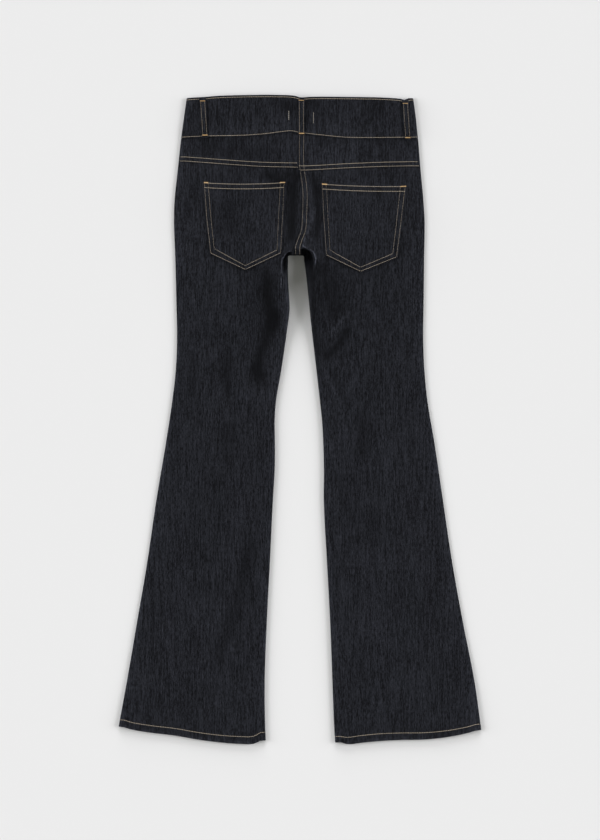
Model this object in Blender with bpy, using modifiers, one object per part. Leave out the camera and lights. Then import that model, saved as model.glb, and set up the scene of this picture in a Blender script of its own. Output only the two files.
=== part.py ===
"""Bootcut jeans laid flat with the back side up, every sewn piece a solid of its own.

X runs across, with the wearer's right at +X. Y runs up the garment, towards the waist. Z is up, and
the jeans lie on Z = 0. A place on the cloth is given as (across, down) in millimetres: across from
the middle line, and down from the top edge of the waist. Heights are millimetres above the floor.
"""

import math

import bmesh
import bpy
from mathutils import Vector

MM = 0.001

# Cloth
DENIM = 1.2
BAND_THICKNESS = 2.4
BAND_STEP = 1.0
SEAM_GAP = 0.3
LAY_GAP = 0.6
UNDER_MARGIN = 11.0
FOLD_RADIUS = 2.9
BAND_FOLD_RADIUS = 4.2

# Whole garment
LENGTH = 1052.0
CROTCH = 260.0
SEAM_FOOT = -9.2
CORNER_RADIUS = 6.0
FRONT_DIP = 38.0
FRONT_DIP_REACH = 176.0
FRONT_EDGE = 4.0
SIDE_TOP = 70.5
FRONT_HEM_RISE = 1.0

# Underside lift, so that the front belt loops and the button lie on the floor under the waistband
BAND_LIFT = 1.9
BUTTON_LIFT = 1.0
LIFT_FADE = 80.0
BUTTON_SPREAD = 34.0

SIDES = ("left", "right")
OUTWARD = {"left": -1.0, "right": 1.0}

# Side edges of the flat garment: down, left, right
OUTER_EDGE = (
    (0.0, -183.0, 182.5),
    (25.0, -186.5, 186.0),
    (69.0, -192.5, 190.8),
    (118.0, -197.8, 194.9),
    (171.0, -203.3, 199.7),
    (204.0, -204.3, 201.7),
    (262.0, -202.2, 200.9),
    (333.0, -200.4, 200.1),
    (398.0, -199.3, 199.4),
    (446.0, -201.4, 201.4),
    (495.0, -207.0, 206.2),
    (560.0, -216.8, 217.1),
    (657.0, -233.0, 231.5),
    (754.0, -247.2, 245.9),
    (851.0, -263.7, 263.2),
    (948.0, -280.3, 282.2),
    (1021.0, -293.6, 292.6),
    (1052.0, -299.2, 297.0),
)

# Inner edges of the legs, from the crotch to the hem: down, left, right
INNER_EDGE = (
    (266.0, -19.6, 6.4),
    (300.0, -19.4, 10.7),
    (333.0, -17.4, 14.1),
    (349.0, -17.2, 15.6),
    (381.0, -21.1, 19.0),
    (446.0, -30.6, 26.6),
    (495.0, -38.9, 32.1),
    (527.0, -41.2, 35.5),
    (560.0, -40.8, 37.4),
    (608.0, -41.2, 38.6),
    (657.0, -44.1, 38.4),
    (754.0, -48.8, 43.4),
    (851.0, -53.8, 48.6),
    (948.0, -57.3, 52.3),
    (1021.0, -56.6, 55.1),
    (1052.0, -55.2, 56.9),
)

# Centre back seam and centre front seam: down, across
BACK_SEAM = (
    (60.0, -2.6),
    (119.0, -2.2),
    (141.0, 1.2),
    (162.0, 2.8),
    (193.0, 2.1),
    (219.0, 0.2),
    (238.0, -6.2),
    (252.0, SEAM_FOOT),
    (270.0, SEAM_FOOT),
)
FRONT_SEAM = (
    (100.0, 4.0),
    (150.0, 2.5),
    (200.0, -3.0),
    (235.0, -8.2),
    (250.0, SEAM_FOOT),
    (270.0, SEAM_FOOT),
)

# Top and bottom edge of the waistband on the back: across, down
BAND_TOP = (
    (-190.0, 4.9),
    (-155.0, 3.2),
    (-133.0, 1.6),
    (-70.0, 0.0),
    (-39.0, 0.0),
    (-8.0, 1.6),
    (0.0, 4.0),
    (16.0, 3.2),
    (73.0, 3.2),
    (147.0, 4.9),
    (190.0, 7.0),
)
BAND_BOTTOM = (
    (-192.0, SIDE_TOP),
    (-155.0, 67.7),
    (-88.0, 66.1),
    (-57.0, 63.8),
    (-26.0, 60.3),
    (-13.0, 59.9),
    (-1.0, 62.9),
    (16.0, 65.0),
    (46.0, 68.5),
    (77.0, 71.1),
    (124.0, 71.4),
    (191.0, SIDE_TOP),
)

# Lower edge of the yoke at the side and at the centre back
YOKE_SIDE = {"left": 109.0, "right": 115.5}
YOKE_CENTRE = {"left": 119.0, "right": 122.9}

# Hem of each leg, from the outer to the inner edge: share of the width, left down, right down
HEM = (
    (0.00, 1023.0, 1028.5),
    (0.05, 1026.5, 1032.0),
    (0.20, 1032.0, 1039.0),
    (0.37, 1036.5, 1043.4),
    (0.55, 1043.5, 1044.5),
    (0.70, 1047.8, 1046.2),
    (0.85, 1050.3, 1049.5),
    (0.95, 1050.2, 1051.8),
    (1.00, 1045.4, 1048.8),
)

# Height of the top sheet: down, height
LOFT = (
    (0.0, 11.5),
    (65.0, 12.0),
    (120.0, 12.8),
    (200.0, 13.8),
    (255.0, 13.8),
    (300.0, 12.4),
    (345.0, 10.2),
    (405.0, 7.4),
    (500.0, 6.3),
    (1052.0, 6.0),
)

# Swells (and, below zero, hollows) in the top sheet: across, down, height, reach across, reach down
SWELLS = (
    (-4.0, 256.0, 10.5, 50.0, 62.0),
    (-24.0, 330.0, 4.6, 24.0, 62.0),
    (20.0, 330.0, 4.8, 26.0, 62.0),
    (-13.0, 214.0, -1.8, 10.0, 36.0),
    (19.0, 208.0, -1.6, 11.0, 34.0),
    (-52.0, 318.0, -1.8, 14.0, 38.0),
    (-62.0, 398.0, -1.0, 13.0, 30.0),
    (54.0, 312.0, -1.8, 15.0, 34.0),
    (62.0, 362.0, -1.0, 15.0, 28.0),
)

# Width of the rounding at the side folds: down, width
OUTER_ROLL = (
    (0.0, 12.0),
    (70.0, 12.0),
    (200.0, 15.0),
    (300.0, 13.0),
    (400.0, 10.0),
    (1052.0, 8.0),
)

# Width of the rounding at the inner folds: distance from the crotch seam, left, right
INNER_ROLL = (
    (0.0, 9.0, 9.0),
    (10.0, 9.2, 9.2),
    (19.0, 10.4, 14.5),
    (40.0, 10.5, 17.5),
    (75.0, 10.0, 14.0),
    (120.0, 9.0, 10.0),
    (820.0, 8.0, 8.0),
)

# Rows of a leg panel. Above the crotch: down on the centre back seam.
# Round the corner of the crotch: share of the corner's turn, down at the outer edge. Below it: down
# at the inner and at the outer edge.
SEAM_ROWS = (140.0, 160.0, 181.0, 202.0, 222.0, 238.0)
CORNER_ROWS = (
    (0.5, 256.0),
    (1.0, 266.0),
)
SEAM_ROW_DOWN = 246.0
THIGH_ROWS = (
    (276.0, 275.0),
    (289.0, 288.0),
)
LEG_ROWS = (303.0, 319.0, 336.0, 353.0, 376.0, 404.0, 440.0, 485.0, 532.0, 590.0, 660.0, 740.0)
LEG_ROWS += (825.0, 905.0, 970.0)
HEM_ROWS = (
    (34.0, 0.35),
    (11.0, 0.8),
    (0.0, 1.0),
)
ACROSS_SHARES = (0.0, 0.18, 0.35, 0.49, 0.6, 0.69, 0.77, 0.84, 0.9, 0.95, 1.0)
FRONT_SHARES = (0.0, 0.33, 0.67, 1.0)
UPPER_STEPS = 4
LOWER_STEPS = 3

# Back pockets: across and down of the hem corners, the foot corners and the point
POCKET_OUTLINES = {
    "left": {
        "hem_outer": (-159.0, 140.9),
        "hem_inner": (-22.0, 140.6),
        "hem_sag": 2.6,
        "foot_outer": (-146.0, 256.4),
        "foot_inner": (-30.0, 256.8),
        "point": (-88.5, 284.2),
    },
    "right": {
        "hem_outer": (173.0, 147.1),
        "hem_inner": (33.5, 143.3),
        "hem_sag": 1.6,
        "foot_outer": (157.5, 262.2),
        "foot_inner": (41.0, 258.8),
        "point": (97.9, 286.3),
    },
}
POCKET_HEM = 10.5
POCKET_HEM_EXTRA = 0.6

# Belt loops on the back: across at the top, across at the bottom, down at the top and the bottom
LOOP_WIDTH = 10.6
LOOP_THICKNESS = 1.6
LOOP_ARCH = 0.8
BACK_LOOPS = {
    "centre": (2.0, 2.4, 7.0, 64.5),
    "left": (-156.6, -152.9, 4.6, 69.9),
    "right": (169.3, 173.4, 8.6, 73.4),
}
FRONT_LOOP_ACROSS = 98.0

# Fly and button, on the underside
BAND_LEFT_END = 4.0
BAND_LAP_EDGE = 9.0
BAND_LAP_FOOT = 34.0
BAND_LAP_COLUMNS = (34.0, 28.0, 22.0, 15.0, 9.0, 4.15, -16.0, -36.0)
BAND_FRONT_COLUMNS = (25.0, 75.0, 130.0)
BAND_BACK_SHARES = (0.06, 0.13, 0.22, 0.33, 0.42, 0.46, 0.49, 0.52, 0.56, 0.62, 0.7, 0.8, 0.9)
FLY_LENGTH = 108.0
SHIELD_EDGES = (-34.0, 14.0)
ZIP_WIDTH = 26.0
ZIP_TAPE = 0.8
ZIP_CHAIN = 1.6
ZIP_CHAIN_WIDTH = 5.0
BUTTON_ACROSS = -14.0
BUTTON_DOWN = 74.0
BUTTON_RADIUS = 8.5
SHANK_RADIUS = 3.6
BUTTON_HEAD = 2.6


def smooth(table, column, at):
    """Value of a table's column at a place, on a cubic curve through its rows."""
    places = [row[0] for row in table]
    values = [row[column] for row in table]
    if at <= places[0]:
        return values[0]
    if at >= places[-1]:
        return values[-1]
    i = max(k for k in range(len(places) - 1) if places[k] <= at)
    slopes = []
    for k in range(len(places) - 1):
        slopes.append((values[k + 1] - values[k]) / (places[k + 1] - places[k]))
    before = slopes[i] if i == 0 else 0.5 * (slopes[i - 1] + slopes[i])
    after = slopes[i] if i + 1 == len(slopes) else 0.5 * (slopes[i] + slopes[i + 1])
    span = places[i + 1] - places[i]
    t = (at - places[i]) / span
    return (
        values[i] * (1 + 2 * t) * (1 - t) ** 2
        + values[i + 1] * t * t * (3 - 2 * t)
        + span * before * t * (1 - t) ** 2
        - span * after * t * t * (1 - t)
    )


def mix(a, b, t):
    return a + (b - a) * t


def ease(t):
    """0 to 1 with level ends."""
    t = min(1.0, max(0.0, t))
    return t * t * (3.0 - 2.0 * t)


def outer_edge(side, down):
    return smooth(OUTER_EDGE, 1 + SIDES.index(side), down)


def inner_edge(side, down):
    return smooth(INNER_EDGE, 1 + SIDES.index(side), down)


def back_seam(down):
    return smooth(BACK_SEAM, 1, down)


def front_seam(down):
    return smooth(FRONT_SEAM, 1, down)


def band_top(across):
    return smooth(BAND_TOP, 1, across)


def band_bottom(across):
    return smooth(BAND_BOTTOM, 1, across)


def front_dip(across):
    """How much lower the front waist lies than the sides."""
    share = across / FRONT_DIP_REACH
    return FRONT_DIP * max(0.0, 1.0 - share * share)


def front_column(side, part):
    """Across of a front panel's column at the waist, and how far down the waistband ends there."""
    start = outer_edge(side, SIDE_TOP) - OUTWARD[side] * (UNDER_MARGIN + SEAM_GAP)
    end = FRONT_EDGE + OUTWARD[side] * 0.5 * SEAM_GAP
    x = mix(start, end, part)
    return x, SIDE_TOP + front_dip(x)


def front_waist(side, across):
    """Lower edge of the waistband on the front: straight between the front panel's columns."""
    columns = [front_column(side, part) for part in FRONT_SHARES]
    if (across - columns[0][0]) * OUTWARD[side] >= 0.0:
        return columns[0][1]
    for (x, down), (next_x, next_down) in zip(columns, columns[1:]):
        if (across - next_x) * OUTWARD[side] >= 0.0:
            return mix(down, next_down, (across - x) / (next_x - x))
    return columns[-1][1]


def loft(across, down):
    """Height of the top sheet's outer face."""
    height = smooth(LOFT, 1, down)
    for x, y, rise, reach_across, reach_down in SWELLS:
        far = ((across - x) / reach_across) ** 2 + ((down - y) / reach_down) ** 2
        height += rise * math.exp(-far)
    return height


def underside(across, down):
    """Height of the underside's outer face: on the floor, but lifted at the waist."""
    below_band = down - SIDE_TOP - front_dip(across)
    button = (across - BUTTON_ACROSS) ** 2 + (down - BUTTON_DOWN) ** 2
    lift = BAND_LIFT + BUTTON_LIFT * math.exp(-button / BUTTON_SPREAD**2)
    return lift * (1.0 - ease(below_band / LIFT_FADE))


def fold(width, top, base, radius, margin):
    """Section of a folded edge as (inset, height), from the top sheet round to the margin underneath."""
    points = []
    for step in range(UPPER_STEPS + 1):
        turn = 0.5 * math.pi * (1.0 - step / UPPER_STEPS)
        rise = top - base - radius
        points.append((width * (1.0 - math.cos(turn)), base + radius + rise * math.sin(turn)))
    for step in range(1, LOWER_STEPS + 1):
        turn = 0.5 * math.pi * step / LOWER_STEPS
        points.append((radius * (1.0 - math.cos(turn)), base + radius * (1.0 - math.sin(turn))))
    if margin > radius:
        points.append((margin, base))
    return points


def bridge_length(side):
    """Straight part of the crotch fold, from the seam to the corner."""
    return abs(inner_edge(side, CROTCH) - SEAM_FOOT) - CORNER_RADIUS


def inner_station(side, distance):
    """Point and inward direction on the inner fold, at a distance from the crotch seam."""
    out = OUTWARD[side]
    straight = bridge_length(side)
    corner = 0.5 * math.pi * CORNER_RADIUS
    if distance <= straight:
        return (SEAM_FOOT + out * distance, CROTCH), (0.0, -1.0)
    if distance <= straight + corner:
        turn = (distance - straight) / CORNER_RADIUS
        middle = SEAM_FOOT + out * straight
        x = middle + out * CORNER_RADIUS * math.sin(turn)
        down = CROTCH + CORNER_RADIUS * (1.0 - math.cos(turn))
        return (x, down), (out * math.sin(turn), -math.cos(turn))
    down = CROTCH + CORNER_RADIUS + distance - straight - corner
    slant = inner_edge(side, down + 1.0) - inner_edge(side, down)
    size = math.hypot(1.0, slant)
    return (inner_edge(side, down), down), (out / size, -out * slant / size)


def distance_to(side, down):
    """Distance along the inner fold to a point of the leg's inner edge."""
    return bridge_length(side) + 0.5 * math.pi * CORNER_RADIUS + down - CROTCH - CORNER_RADIUS


def inner_roll(side, distance):
    return smooth(INNER_ROLL, 1 + SIDES.index(side), distance)


def hem(side, share):
    return smooth(HEM, 1 + SIDES.index(side), share)


def leg_rows(side):
    """Rows from the crotch seam to the hem: outer down, distance along the inner fold, hem's share."""
    straight = bridge_length(side)
    rows = [(SEAM_ROW_DOWN, 0.0, 0.0)]
    for share, outer_down in CORNER_ROWS:
        rows.append((outer_down, straight + share * 0.5 * math.pi * CORNER_RADIUS, 0.0))
    for inner_down, outer_down in THIGH_ROWS:
        rows.append((outer_down, distance_to(side, inner_down), 0.0))
    for down in LEG_ROWS:
        rows.append((down, distance_to(side, down), 0.0))
    for above_hem, share in HEM_ROWS:
        rows.append((hem(side, 0.0) - above_hem, distance_to(side, hem(side, 1.0) - above_hem), share))
    return rows


def outer_strip(side, down, inward, raised=0.0, radius=FOLD_RADIUS, margin=UNDER_MARGIN):
    """Section of the side fold at one row, from its margin up to the top sheet."""
    x = outer_edge(side, down)
    width = smooth(OUTER_ROLL, 1, down)
    top = loft(x - OUTWARD[side] * width, down) + raised
    base = underside(x, down)
    points = []
    for inset, height in reversed(fold(width, top, base, radius, margin)):
        points.append((x + inward[0] * inset, down + inward[1] * inset, height))
    return points


def inner_strip(side, distance):
    """Section of the inner fold at one station, from the top sheet down to its margin."""
    (x, down), (in_x, in_down) = inner_station(side, distance)
    width = inner_roll(side, distance)
    top = loft(x + in_x * width, down + in_down * width)
    base = underside(x, down)
    points = []
    for inset, height in fold(width, top, base, FOLD_RADIUS, UNDER_MARGIN):
        points.append((x + in_x * inset, down + in_down * inset, height))
    return points


def across_sheet(start, end, shares, bow):
    """Points of the top sheet between two rims, without its first and last."""
    points = []
    for share in shares[1:-1]:
        x = mix(start[0], end[0], share)
        down = mix(start[1], end[1], share) + bow(share)
        points.append((x, down, loft(x, down)))
    return points


def row_direction(start, end):
    size = math.hypot(end[0] - start[0], end[1] - start[1])
    return (end[0] - start[0]) / size, (end[1] - start[1]) / size


def seat_rows(side):
    """Rows above the crotch: down at the side fold, down on the centre back seam."""
    seam_top = YOKE_CENTRE[side] + 0.5 * SEAM_GAP
    seam_end = inner_strip(side, 0.0)[0][1]
    rows = []
    for seam_down in (seam_top, *SEAM_ROWS):
        share = (seam_down - seam_top) / (seam_end - seam_top)
        rows.append((mix(YOKE_SIDE[side] + 0.5 * SEAM_GAP, SEAM_ROW_DOWN, share), seam_down))
    return rows


def back_leg_rows(side):
    """Sections of a back leg panel, from the yoke to the hem."""
    out = OUTWARD[side]
    rows = []
    seam_side = out * 0.5 * SEAM_GAP
    for outer_down, seam_down in seat_rows(side):
        end = (back_seam(seam_down) + seam_side, seam_down)
        start = (outer_edge(side, outer_down), outer_down)
        strip = outer_strip(side, outer_down, row_direction(start, end))
        sheet = across_sheet(strip[-1], end, ACROSS_SHARES, lambda share: 0.0)
        rows.append(strip + sheet + [(end[0], end[1], loft(*end))])
    for outer_down, distance, hem_share in leg_rows(side):
        inner = inner_strip(side, distance)
        if distance == 0.0:
            inner = [(x + seam_side, down, height) for x, down, height in inner]
        start = (outer_edge(side, outer_down), outer_down)
        strip = outer_strip(side, outer_down, row_direction(start, inner[0]))

        def bow(share):
            return hem_share * (hem(side, share) - mix(hem(side, 0.0), hem(side, 1.0), share))

        sheet = across_sheet(strip[-1], inner[0], ACROSS_SHARES, bow)
        rows.append(strip + sheet + inner)
    return rows


def under_point(x, down):
    return (x, down, underside(x, down))


def front_leg_rows(side):
    """Sections of a front leg panel, flat under the back one, from the waistband to the hem."""
    out = OUTWARD[side]
    reach = UNDER_MARGIN + SEAM_GAP
    waist = [front_column(side, part) for part in FRONT_SHARES]
    rows = [[under_point(x, down + SEAM_GAP) for x, down in waist]]
    seam_top = front_column(side, 1.0)[1]
    seam_end = CROTCH - reach
    side_rows = [mix(SIDE_TOP, YOKE_SIDE[side], 0.5)] + [outer_down for outer_down, _ in seat_rows(side)]
    for outer_down in side_rows:
        share = (outer_down - SIDE_TOP) / (SEAM_ROW_DOWN - SIDE_TOP)
        seam_down = mix(seam_top, seam_end, share)
        start = (outer_edge(side, outer_down) - out * reach, outer_down)
        end = (front_seam(seam_down) + out * 0.5 * SEAM_GAP, seam_down)
        row = []
        for part in FRONT_SHARES:
            dip = front_column(side, part)[1] - mix(SIDE_TOP, seam_top, part)
            level = mix(outer_down, seam_down, part) + (1.0 - ease(share)) * dip
            row.append(under_point(mix(start[0], end[0], part), level))
        rows.append(row)
    for outer_down, distance, hem_share in leg_rows(side):
        (x, down), (in_x, in_down) = inner_station(side, distance)
        end = (x + in_x * reach, down + in_down * reach)
        if distance == 0.0:
            end = (end[0] + out * 0.5 * SEAM_GAP, end[1])
        outer = (outer_edge(side, outer_down), outer_down)
        inward = row_direction(outer, (x, down))
        start = (outer[0] + inward[0] * reach, outer[1] + inward[1] * reach)
        row = []
        for part in FRONT_SHARES:
            bow = hem(side, part) - mix(hem(side, 0.0), hem(side, 1.0), part) - FRONT_HEM_RISE
            level = mix(start[1], end[1], part) + hem_share * bow
            row.append(under_point(mix(start[0], end[0], part), level))
        rows.append(row)
    return rows


def yoke_rows(side):
    """Sections of half a yoke, from the waistband to the leg panel."""
    out = OUTWARD[side]
    rows = []
    for share in (0.0, 0.5, 1.0):
        outer_down = mix(SIDE_TOP + SEAM_GAP, YOKE_SIDE[side] - 0.5 * SEAM_GAP, share)
        seam_bottom = YOKE_CENTRE[side] - 0.5 * SEAM_GAP
        seam_down = mix(band_bottom(back_seam(62.0)) + SEAM_GAP, seam_bottom, share)
        end = (back_seam(seam_down) + out * 0.5 * SEAM_GAP, seam_down)
        strip = outer_strip(side, outer_down, (-out, 0.0))
        start = strip[-1]

        def bow(part):
            x = mix(start[0], end[0], part)
            return (1.0 - share) * (band_bottom(x) + SEAM_GAP - mix(start[1], end[1], part))

        shares = (0.0, 0.15, 0.3, 0.45, 0.6, 0.72, 0.84, 0.93, 1.0)
        rows.append(strip + across_sheet(start, end, shares, bow) + [(end[0], end[1], loft(*end))])
    return rows


def lap_lift(across):
    """Height of the waistband's right end, which lies inside the left one at the fly."""
    ramp = (across - BAND_LAP_EDGE) / (BAND_LAP_FOOT - BAND_LAP_EDGE)
    return (BAND_THICKNESS + SEAM_GAP) * (1.0 - ease(ramp))


def band_edge_row(share):
    """One edge of the waistband, from the left front end round the back to the right front end."""

    def back_level(x):
        return mix(band_top(x), band_bottom(x), share)

    def front_point(side, x, lift):
        top = band_top(outer_edge(side, 0.0)) + front_dip(x)
        down = mix(top, front_waist(side, x), share)
        return (x, down, underside(x, down) + lift)

    folds = {}
    for side in SIDES:
        down = back_level(outer_edge(side, SIDE_TOP))
        inward = (-OUTWARD[side], 0.0)
        folds[side] = outer_strip(side, down, inward, BAND_STEP, BAND_FOLD_RADIUS, BAND_FOLD_RADIUS)
    row = [front_point("left", BAND_LEFT_END, 0.0)]
    for x in BAND_FRONT_COLUMNS:
        row.append(front_point("left", -x, 0.0))
    row += [front_point("left", front_column("left", part)[0], 0.0) for part in FRONT_SHARES[:-1]]
    row.sort(key=lambda point: -point[0])
    row += folds["left"]
    start = folds["left"][-1][0]
    end = folds["right"][-1][0]
    for part in BAND_BACK_SHARES:
        x = mix(start, end, part)
        row.append((x, back_level(x), loft(x, back_level(x)) + BAND_STEP))
    row += reversed(folds["right"])
    right = [front_point("right", front_column("right", part)[0], 0.0) for part in FRONT_SHARES[:-1]]
    right += [front_point("right", x, lap_lift(x)) for x in BAND_LAP_COLUMNS]
    right += [front_point("right", x, 0.0) for x in BAND_FRONT_COLUMNS[1:]]
    right.sort(key=lambda point: -point[0])
    return row + right


def pocket_rows(side):
    """Sections of a back pocket, from its hem to its pointed foot, just above the leg panel."""
    shape = POCKET_OUTLINES[side]
    hem_share = POCKET_HEM / (shape["foot_outer"][1] - shape["hem_outer"][1])
    rows = []
    for depth in (0.0, hem_share, hem_share + 0.01, 0.24, 0.4, 0.56, 0.7, 0.82, 0.92, 1.0):
        outer = [mix(a, b, depth) for a, b in zip(shape["hem_outer"], shape["foot_outer"])]
        inner = [mix(a, b, depth) for a, b in zip(shape["hem_inner"], shape["foot_inner"])]
        hem_thickness = POCKET_HEM_EXTRA if depth <= hem_share else 0.0
        point_drop = shape["point"][1] - mix(outer[1], inner[1], 0.5)
        row = []
        for part in (0.0, 0.1, 0.2, 0.3, 0.4, 0.5, 0.6, 0.7, 0.8, 0.9, 1.0):
            sag = (1.0 - depth) * shape["hem_sag"] * 4.0 * part * (1.0 - part)
            bend = depth * ease(depth) * point_drop * (1.0 - abs(2.0 * part - 1.0))
            x = mix(outer[0], inner[0], part)
            down = mix(outer[1], inner[1], part) + sag + bend
            row.append((x, down, loft(x, down) + LAY_GAP + DENIM + hem_thickness))
        rows.append(row)
    return rows


def loop_rows(top_across, bottom_across, top_down, bottom_down, height_at, thickness):
    """Sections of a belt loop, on the outer face that height_at gives."""
    rows = []
    for share in (0.0, 0.05, 0.14, 0.32, 0.5, 0.68, 0.86, 0.95, 1.0):
        middle = mix(top_across, bottom_across, share)
        down = mix(top_down, bottom_down, share)
        arch = LOOP_ARCH * ease(4.0 * min(share, 1.0 - share))
        row = []
        for offset in (-0.5, 0.0, 0.5):
            x = middle + offset * LOOP_WIDTH
            row.append((x, down, height_at(x, down, arch) + thickness))
        rows.append(row)
    return rows


def world(point):
    across, down, height = point
    return Vector((across * MM, (0.5 * LENGTH - down) * MM, height * MM))


def material(name, colour, roughness, metallic):
    made = bpy.data.materials.new(name)
    made.use_nodes = True
    shader = made.node_tree.nodes["Principled BSDF"]
    shader.inputs["Base Color"].default_value = (*colour, 1.0)
    shader.inputs["Roughness"].default_value = roughness
    shader.inputs["Metallic"].default_value = metallic
    return made


def add_object(name, mesh, finish, collection):
    made = bpy.data.objects.new(name, mesh)
    mesh.materials.append(finish)
    mesh.shade_smooth()
    collection.objects.link(made)
    return made


def sheet_mesh(name, rows, flip):
    """Open surface through the rows; a row may have fewer points than the next."""
    surface = bmesh.new()
    grid = [[surface.verts.new(world(point)) for point in row] for row in rows]
    for above, below in zip(grid, grid[1:]):
        for i in range(min(len(above), len(below)) - 1):
            corners = [above[i], below[i], below[i + 1], above[i + 1]]
            surface.faces.new(reversed(corners) if flip else corners)
    mesh = bpy.data.meshes.new(name)
    surface.to_mesh(mesh)
    surface.free()
    return mesh


def cloth_piece(name, rows, thickness, finish, collection, flip=False):
    """Cloth wall whose outer face is the surface through the rows."""
    piece = add_object(name, sheet_mesh(name, rows, flip), finish, collection)
    wall = piece.modifiers.new("wall", "SOLIDIFY")
    wall.thickness = thickness * MM
    wall.offset = -1.0
    wall.use_quality_normals = True
    return piece


def add_legs(denim, collection):
    for side in SIDES:
        mirrored = side == "right"
        cloth_piece("back_leg_" + side, back_leg_rows(side), DENIM, denim, collection, mirrored)
        cloth_piece("front_leg_" + side, front_leg_rows(side), DENIM, denim, collection, not mirrored)
        cloth_piece("back_yoke_" + side, yoke_rows(side), DENIM, denim, collection, mirrored)


def add_waistband(denim, collection):
    """Waistband, with a round end of the buttonhole cut where the button's shank goes through."""
    rows = [band_edge_row(share) for share in (0.0, 0.5, 1.0)]
    band = cloth_piece("waistband", rows, BAND_THICKNESS, denim, collection)
    hole = (SHANK_RADIUS + SEAM_GAP) * MM
    bpy.ops.mesh.primitive_cylinder_add(vertices=16, radius=hole, depth=2.0 * BAND_THICKNESS * MM)
    cutter = bpy.context.object
    cutter.name = "buttonhole_cutter"
    floor = underside(BUTTON_ACROSS, BUTTON_DOWN)
    cutter.location = world((BUTTON_ACROSS, BUTTON_DOWN, floor + 0.2))
    cutter.hide_render = True
    cutter.display_type = "WIRE"
    cut = band.modifiers.new("buttonhole", "BOOLEAN")
    cut.operation = "DIFFERENCE"
    cut.solver = "EXACT"
    cut.object = cutter


def add_pockets(denim, collection):
    for side in SIDES:
        cloth_piece("back_pocket_" + side, pocket_rows(side), DENIM, denim, collection, side == "right")


def add_belt_loops(denim, collection):
    def over_band(x, down, arch):
        return loft(x, down) + BAND_STEP + LAY_GAP + arch

    def under_band(x, down, arch):
        return underside(x, down) - SEAM_GAP - LOOP_THICKNESS

    for place, (top_across, bottom_across, top, bottom) in BACK_LOOPS.items():
        rows = loop_rows(top_across, bottom_across, top, bottom, over_band, LOOP_THICKNESS)
        cloth_piece("belt_loop_back_" + place, rows, LOOP_THICKNESS, denim, collection)
    for side in SIDES:
        x = OUTWARD[side] * FRONT_LOOP_ACROSS
        top = band_top(outer_edge(side, 0.0)) + front_dip(x) + 1.0
        bottom = front_waist(side, x) - 1.0
        rows = loop_rows(x, x, top, bottom, under_band, 0.0)
        cloth_piece("belt_loop_front_" + side, rows, LOOP_THICKNESS, denim, collection, True)


def add_fly(denim, collection):
    """Zip tape with its closed chain, and the shield that covers it inside."""
    top = front_column("left", 1.0)[1] + 2.0
    shares = (0.0, 0.2, 0.4, 0.6, 0.8, 1.0)
    shield = []
    for share in shares:
        down = mix(top, top + FLY_LENGTH, share)
        above = DENIM + SEAM_GAP + ZIP_CHAIN + SEAM_GAP + DENIM
        row = []
        for x in (SHIELD_EDGES[0], mix(*SHIELD_EDGES, 0.5), SHIELD_EDGES[1]):
            row.append((x, down, underside(x, down) + above))
        shield.append(row)
    cloth_piece("fly_shield", shield, DENIM, denim, collection)
    surface = bmesh.new()
    half = 0.5 * ZIP_WIDTH
    chain = 0.5 * ZIP_CHAIN_WIDTH
    section = (
        (-half, 0.0),
        (half, 0.0),
        (half, ZIP_TAPE),
        (chain, ZIP_TAPE),
        (chain, ZIP_CHAIN),
        (-chain, ZIP_CHAIN),
        (-chain, ZIP_TAPE),
        (-half, ZIP_TAPE),
    )
    rings = []
    for share in shares:
        down = mix(top, top + FLY_LENGTH - 6.0, share)
        middle = front_seam(down) - 4.0
        floor = max(underside(middle + x, down) for x in (-half, 0.0, half)) + DENIM + SEAM_GAP
        rings.append([surface.verts.new(world((middle + x, down, floor + z))) for x, z in section])
    for above, below in zip(rings, rings[1:]):
        for i in range(len(section)):
            j = (i + 1) % len(section)
            surface.faces.new((above[i], above[j], below[j], below[i]))
    surface.faces.new(reversed(rings[0]))
    surface.faces.new(rings[-1])
    bmesh.ops.recalc_face_normals(surface, faces=surface.faces)
    mesh = bpy.data.meshes.new("fly_zip")
    surface.to_mesh(mesh)
    surface.free()
    add_object("fly_zip", mesh, denim, collection)


def add_button(metal, collection):
    """Button head on the floor, with its shank through the buttonhole."""
    shank_top = underside(BUTTON_ACROSS, BUTTON_DOWN) + BAND_THICKNESS
    profile = (
        (0.0, shank_top),
        (SHANK_RADIUS, shank_top),
        (SHANK_RADIUS, BUTTON_HEAD),
        (BUTTON_RADIUS, BUTTON_HEAD),
        (BUTTON_RADIUS, 0.8),
        (BUTTON_RADIUS - 0.8, 0.0),
        (0.0, 0.0),
    )
    mesh = bpy.data.meshes.new("waist_button")
    points = [(radius * MM, 0.0, height * MM) for radius, height in profile]
    mesh.from_pydata(points, [(i, i + 1) for i in range(len(points) - 1)], [])
    button = add_object("waist_button", mesh, metal, collection)
    button.location = world((BUTTON_ACROSS, BUTTON_DOWN, 0.0))
    turn = button.modifiers.new("turn", "SCREW")
    turn.steps = 24
    turn.render_steps = 24
    turn.use_merge_vertices = True
    turn.merge_threshold = 0.00001


def centre_on_floor(collection):
    """Hang every piece from one empty, and set it so that the box's foot is centred on the origin."""
    bpy.context.view_layer.update()
    graph = bpy.context.evaluated_depsgraph_get()
    corners = []
    for piece in collection.objects:
        shown = piece.evaluated_get(graph)
        corners += [shown.matrix_world @ Vector(corner) for corner in shown.bound_box]
    low = [min(corner[i] for corner in corners) for i in range(3)]
    high = [max(corner[i] for corner in corners) for i in range(3)]
    frame = bpy.data.objects.new("jeans_frame", None)
    cutter = bpy.data.objects["buttonhole_cutter"]
    for piece in [*collection.objects, cutter]:
        piece.parent = frame
    bpy.context.scene.collection.objects.link(frame)
    frame.location = (-0.5 * (low[0] + high[0]), -0.5 * (low[1] + high[1]), -low[2])


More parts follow.
